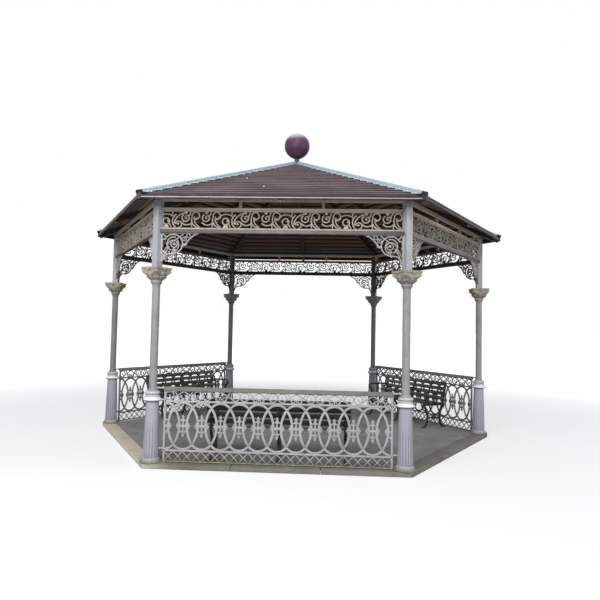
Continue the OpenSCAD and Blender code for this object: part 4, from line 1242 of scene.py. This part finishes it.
def leaf(name, rows, rib=5.0):
    """A leaf facing +x on the column axis. rows are (height, reach, half width) in mm, from foot to tip.
    Points that are done wait well above the grid, so that no point is picked twice."""
    nothing()
    bpy.ops.mesh.primitive_grid_add(x_subdivisions=4, y_subdivisions=len(rows) - 1, size=2)
    made = bpy.context.object
    made.name = name
    bpy.ops.object.mode_set(mode="EDIT")
    for row, (height, reach, half) in enumerate(rows):
        for share in (-1, -0.5, 0, 0.5, 1):
            start = Vector((share, 2 * row / (len(rows) - 1) - 1, 0))
            lobed = abs(share) == 1 and not row % 2
            y = share * half * (0.82 if lobed else 1.0)
            fold = rib * (1 - abs(share)) + (2.0 if abs(share) == 0.5 else 0.0)
            x = math.sqrt(max(reach * reach - y * y, 1.0)) + fold
            pick("VERT", lambda vert: (vert.co - start).length < 0.02)
            target = Vector((x * MM, y * MM, height * MM)) + Vector((0, 0, LIFT_CLEAR))
            bpy.ops.transform.translate(value=target - start)
    everything()
    bpy.ops.transform.translate(value=(0, 0, -LIFT_CLEAR))
    bpy.ops.mesh.normals_make_consistent(inside=False)
    close()
    press(made, "wall", "SOLIDIFY", thickness=0.005, offset=0)
    press(made, "soft", "SUBSURF", levels=1, render_levels=1)
    bpy.ops.object.shade_smooth()
    return made


print("leaf tool ready")

# %% [markdown]
# Eight low leaves bend out over the neck, four stand under the hollow faces of the abacus, and four long
# ones carry its corners. Heights count from the foot of the bell.

# %% Shape the three kinds of leaf
ABACUS_HIGH, BELL_HIGH = 44, 115
BELL_Z = CAP_TOP / MM - ABACUS_HIGH - BELL_HIGH
LOW_LEAF = [(-5, 66, 18), (4, 74, 27), (13, 87, 34), (22, 99, 40), (31, 110, 41), (38, 117, 34),
            (41, 122, 22), (37, 125, 9)]
FACE_LEAF = [(40, 100, 24), (52, 110, 34), (66, 119, 37), (80, 124, 35), (91, 128, 28), (98, 133, 20),
             (100, 138, 13), (96, 141, 6)]
CORNER_LEAF = [(36, 96, 20), (50, 107, 28), (62, 119, 30), (74, 134, 29), (85, 149, 25), (93, 160, 20),
               (97, 166, 14), (95, 169, 8)]
low_leaf = leaf("low_leaf", LOW_LEAF)
face_leaf = leaf("face_leaf", FACE_LEAF)
corner_leaf = leaf("corner_leaf", CORNER_LEAF, 8)
print("leaves of", [len(made.data.polygons) for made in (low_leaf, face_leaf, corner_leaf)], "faces")

# %% [markdown]
# A small flower sits on each face of the abacus: a disc with every other point of its rim drawn in, so
# that it has eight petals, and a button raised in the middle.

# %% Shape the flower
FLOWER_R = 0.021
nothing()
bpy.ops.mesh.primitive_circle_add(vertices=16, radius=FLOWER_R, fill_type="NGON",
                                  rotation=(0, math.pi / 2, 0))
flower = bpy.context.object
apply_place()
edit()
pull(0.008, 0, 0)
rim = [FLOWER_R * Vector((0, math.cos(i * math.pi / 4), math.sin(i * math.pi / 4))) for i in range(8)]
pick("VERT", lambda vert: any((vert.co.yz - point.yz).length < 0.002 for point in rim))
bpy.ops.transform.resize(value=(1, 0.68, 0.68))
pick("FACE", lambda face: face.normal.x > 0.9 and len(face.verts) == 16)
bpy.ops.mesh.inset(thickness=0.006)
pull(0.006, 0, 0)
bpy.ops.transform.resize(value=(1, 0.6, 0.6))
outward()
close()
smooth(flower, 60)
print("flower", len(flower.data.polygons), "faces")

# %% [markdown]
# The leaves and flowers are set round one bell, and the whole crown is copied to the six columns.

# %% Set the leaves on the capitals
FLOWER_OUT, FLOWER_DROP = 0.138, 0.022
parts = [copy_at(low_leaf, turn(45 * k)) for k in range(8)]
parts += [copy_at(face_leaf, turn(90 * k)) for k in range(4)]
parts += [copy_at(corner_leaf, turn(90 * k + 45)) for k in range(4)]
leaves = join(parts)
crown = copy_at(leaves, Matrix.Translation((0, 0, BELL_Z * MM)))
on_face = Matrix.Translation((FLOWER_OUT, 0, CAP_TOP - FLOWER_DROP))
crown = join([crown] + [copy_at(flower, turn(90 * k) @ on_face) for k in range(4)])
for name, angle in COLUMNS.items():
    place = turn(angle) @ Matrix.Translation((COLUMN_R, 0, 0))
    settle(copy_at(crown, place), "capital_leaves_" + name, capital_paint)
print("capital leaves", len(crown.data.polygons), "faces a column")
for pattern in (low_leaf, face_leaf, corner_leaf, flower, leaves, crown):
    bpy.data.objects.remove(pattern)

# %% [markdown]
# The benches have planed slats with rounded arrises, held to each iron frame by a round-headed bolt.
# One slat with its bolts is made first, as a bevelled block with discs pulled up into bolt heads.

# %% Plane one bench slat
SLAT_L, SLAT_W, SLAT_T = 1800, 62, 18
FRAME_XS, BOLT_R = (-840, 0, 840), 9


def bolt(x, z):
    """A round bolt head on a washer, its axis along z."""
    head = disc(BOLT_R * MM, (x * MM, 0, z * MM))
    pull(0, 0, 0.002)
    bpy.ops.mesh.inset(thickness=BOLT_R * 0.22 * MM)
    pull(0, 0, 0.003)
    draw_in(0.7)
    outward()
    close()
    apply_place()
    return head


slat = block((SLAT_L * MM, SLAT_W * MM, SLAT_T * MM))
edit()
bpy.ops.mesh.bevel(offset=0.005, segments=2)
close()
smooth(slat, 50)
slat = join([slat] + [bolt(x, SLAT_T / 2 - 1) for x in FRAME_XS])
print("slat", len(slat.data.polygons), "faces")

# %% [markdown]
# The slat is copied to its places in the seat and the back, and the set stands for the plain slats of
# the frame. The back leans by twelve degrees.

# %% Lay the bench boards
SEAT_Z, BACK_LEAN = 430 - SLAT_T, math.radians(12)
SEAT_SLATS, SEAT_STEP, BACK_SLATS, BACK_STEP = 5, 78.5, 4, 84
BENCH_Y = -SIDE / 2 / math.tan(MITRE) + 150


def shift(y, z):
    return Matrix.Translation((0, y * MM, z * MM))


on_floor = Matrix.Translation((0, 0, FLOOR_Z))
boards = []
for i in range(SEAT_SLATS):
    y = BENCH_Y + 44 + i * SEAT_STEP + SLAT_W / 2
    boards.append(copy_at(slat, on_floor @ shift(y, SEAT_Z + SLAT_T / 2)))
lean = on_floor @ shift(BENCH_Y, SEAT_Z - 34) @ Matrix.Rotation(BACK_LEAN, 4, "X")
for i in range(BACK_SLATS):
    spot = shift(34 + SLAT_T / 2, 82 + BACK_STEP * i + SLAT_W / 2) @ Matrix.Rotation(-math.pi / 2, 4, "X")
    boards.append(copy_at(slat, lean @ spot))
bench = join(boards)
bpy.data.objects.remove(slat)
for side, boards in seat_round(bench, "bench_boards_", bench_green, RAILED).items():
    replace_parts(boards, "bench_slats_" + side)
print("bench boards", len(bench.data.polygons), "faces a bench")

# %% [markdown]
# The kerb is cement, cast in lengths against a board and rounded by trowel along its arris. A length
# starts as a bar, its ends are cut to the mitre, its edges are bevelled, and it is subdivided and
# roughened a little, so that its top isn't a machined plane.

# %% Cast the kerb lengths
KERB_OUT, KERB_IN = SIDE_A + 0.125, SIDE_A - 0.075
KERB_MID = (KERB_OUT + KERB_IN) / 2
CAST_LENGTHS, JOINT, KERB_CUTS = 3, 0.005, 34
SIDE_LONG = 2 * KERB_OUT * math.tan(MITRE)
PIECE_LONG = SIDE_LONG / CAST_LENGTHS


def clouds(name, size):
    """A cloud texture for roughening a surface; size is that of its lumps in metres."""
    made = bpy.data.textures.new(name, "CLOUDS")
    made.noise_scale = size
    return made


rough = clouds("trowel_marks", 0.09)
lengths = []
for i in range(CAST_LENGTHS):
    place = ((i - (CAST_LENGTHS - 1) / 2) * PIECE_LONG, -KERB_MID, FLOOR_Z / 2 - 0.0015)
    stone = block((PIECE_LONG - JOINT, KERB_OUT - KERB_IN - 0.003, FLOOR_Z - 0.003), place, seated=True)
    edit()
    for m in (-1, 1):
        cut((0, 0, 0), (m * math.cos(MITRE), math.sin(MITRE), 0))
    pick("EDGE", lambda edge: min(v.co.z for v in edge.verts) > FLOOR_Z * 0.8)
    bpy.ops.mesh.bevel(offset=0.009, segments=3)
    outward()
    pick("EDGE", lambda edge: run_x(edge) > 0.5)
    bpy.ops.mesh.subdivide(number_cuts=KERB_CUTS)
    close()
    press(stone, "worn", "DISPLACE", texture=rough, texture_coords="GLOBAL", strength=0.005, mid_level=0.75)
    edit()
    cut((0, 0, 0.0002), (0, 0, -1))
    close()
    smooth(stone, 50)
    lengths.append(stone)
kerb_side = join(lengths)
print("kerb side", len(kerb_side.data.polygons), "faces")

# %% [markdown]
# The lengths of one side are copied to the other five, and the ring stands for the plain kerb.

# %% Lay the kerb round
kerb_ring = join([kerb_side] + [copy_at(kerb_side, turn(60 * k)) for k in range(1, 6)])
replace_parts(settle(kerb_ring, "kerb_lengths", kerb_cement), "kerb")
print("kerb", len(kerb_ring.data.polygons), "faces")

# %% [markdown]
# Round each column foot the builders left a rough collar of mortar, now mossy. A ring is spun from a
# small section, subdivided, and pushed about by a cloud texture so that it is lumpy and uneven.

# %% Lay the mortar collars
COLLAR_R, COLLAR_THICK = 0.119, 0.016
lumps = clouds("mortar_lumps", 0.035)
collars = []
for angle in COLUMNS.values():
    nothing()
    spot = turn(angle) @ Vector((COLUMN_R, 0, 0))
    bpy.ops.mesh.primitive_circle_add(vertices=8, radius=COLLAR_THICK, fill_type="NOTHING",
                                      location=(spot.x + COLLAR_R, spot.y, FLOOR_Z + 0.003),
                                      rotation=(math.pi / 2, 0, 0))
    collar = bpy.context.object
    apply_place()
    edit()
    bpy.ops.mesh.spin(steps=40, angle=math.tau, center=(spot.x, spot.y, 0), axis=(0, 0, 1))
    everything()
    bpy.ops.mesh.remove_doubles(threshold=0.0004)
    bpy.ops.mesh.subdivide(number_cuts=1)
    bpy.ops.mesh.normals_make_consistent(inside=False)
    close()
    press(collar, "heap", "DISPLACE", texture=lumps, texture_coords="GLOBAL", strength=0.03, mid_level=0.5)
    edit()
    cut((0, 0, FLOOR_Z - 0.001), (0, 0, -1))
    close()
    bpy.ops.object.shade_smooth()
    collars.append(collar)
mortar = settle(join(collars), "foot_mortar", mortar_mix)
print("mortar collars", len(mortar.data.polygons), "faces")

# %% [markdown]
# Last, the scene is left as it stands.

# %% Finish
print("scene dressed")
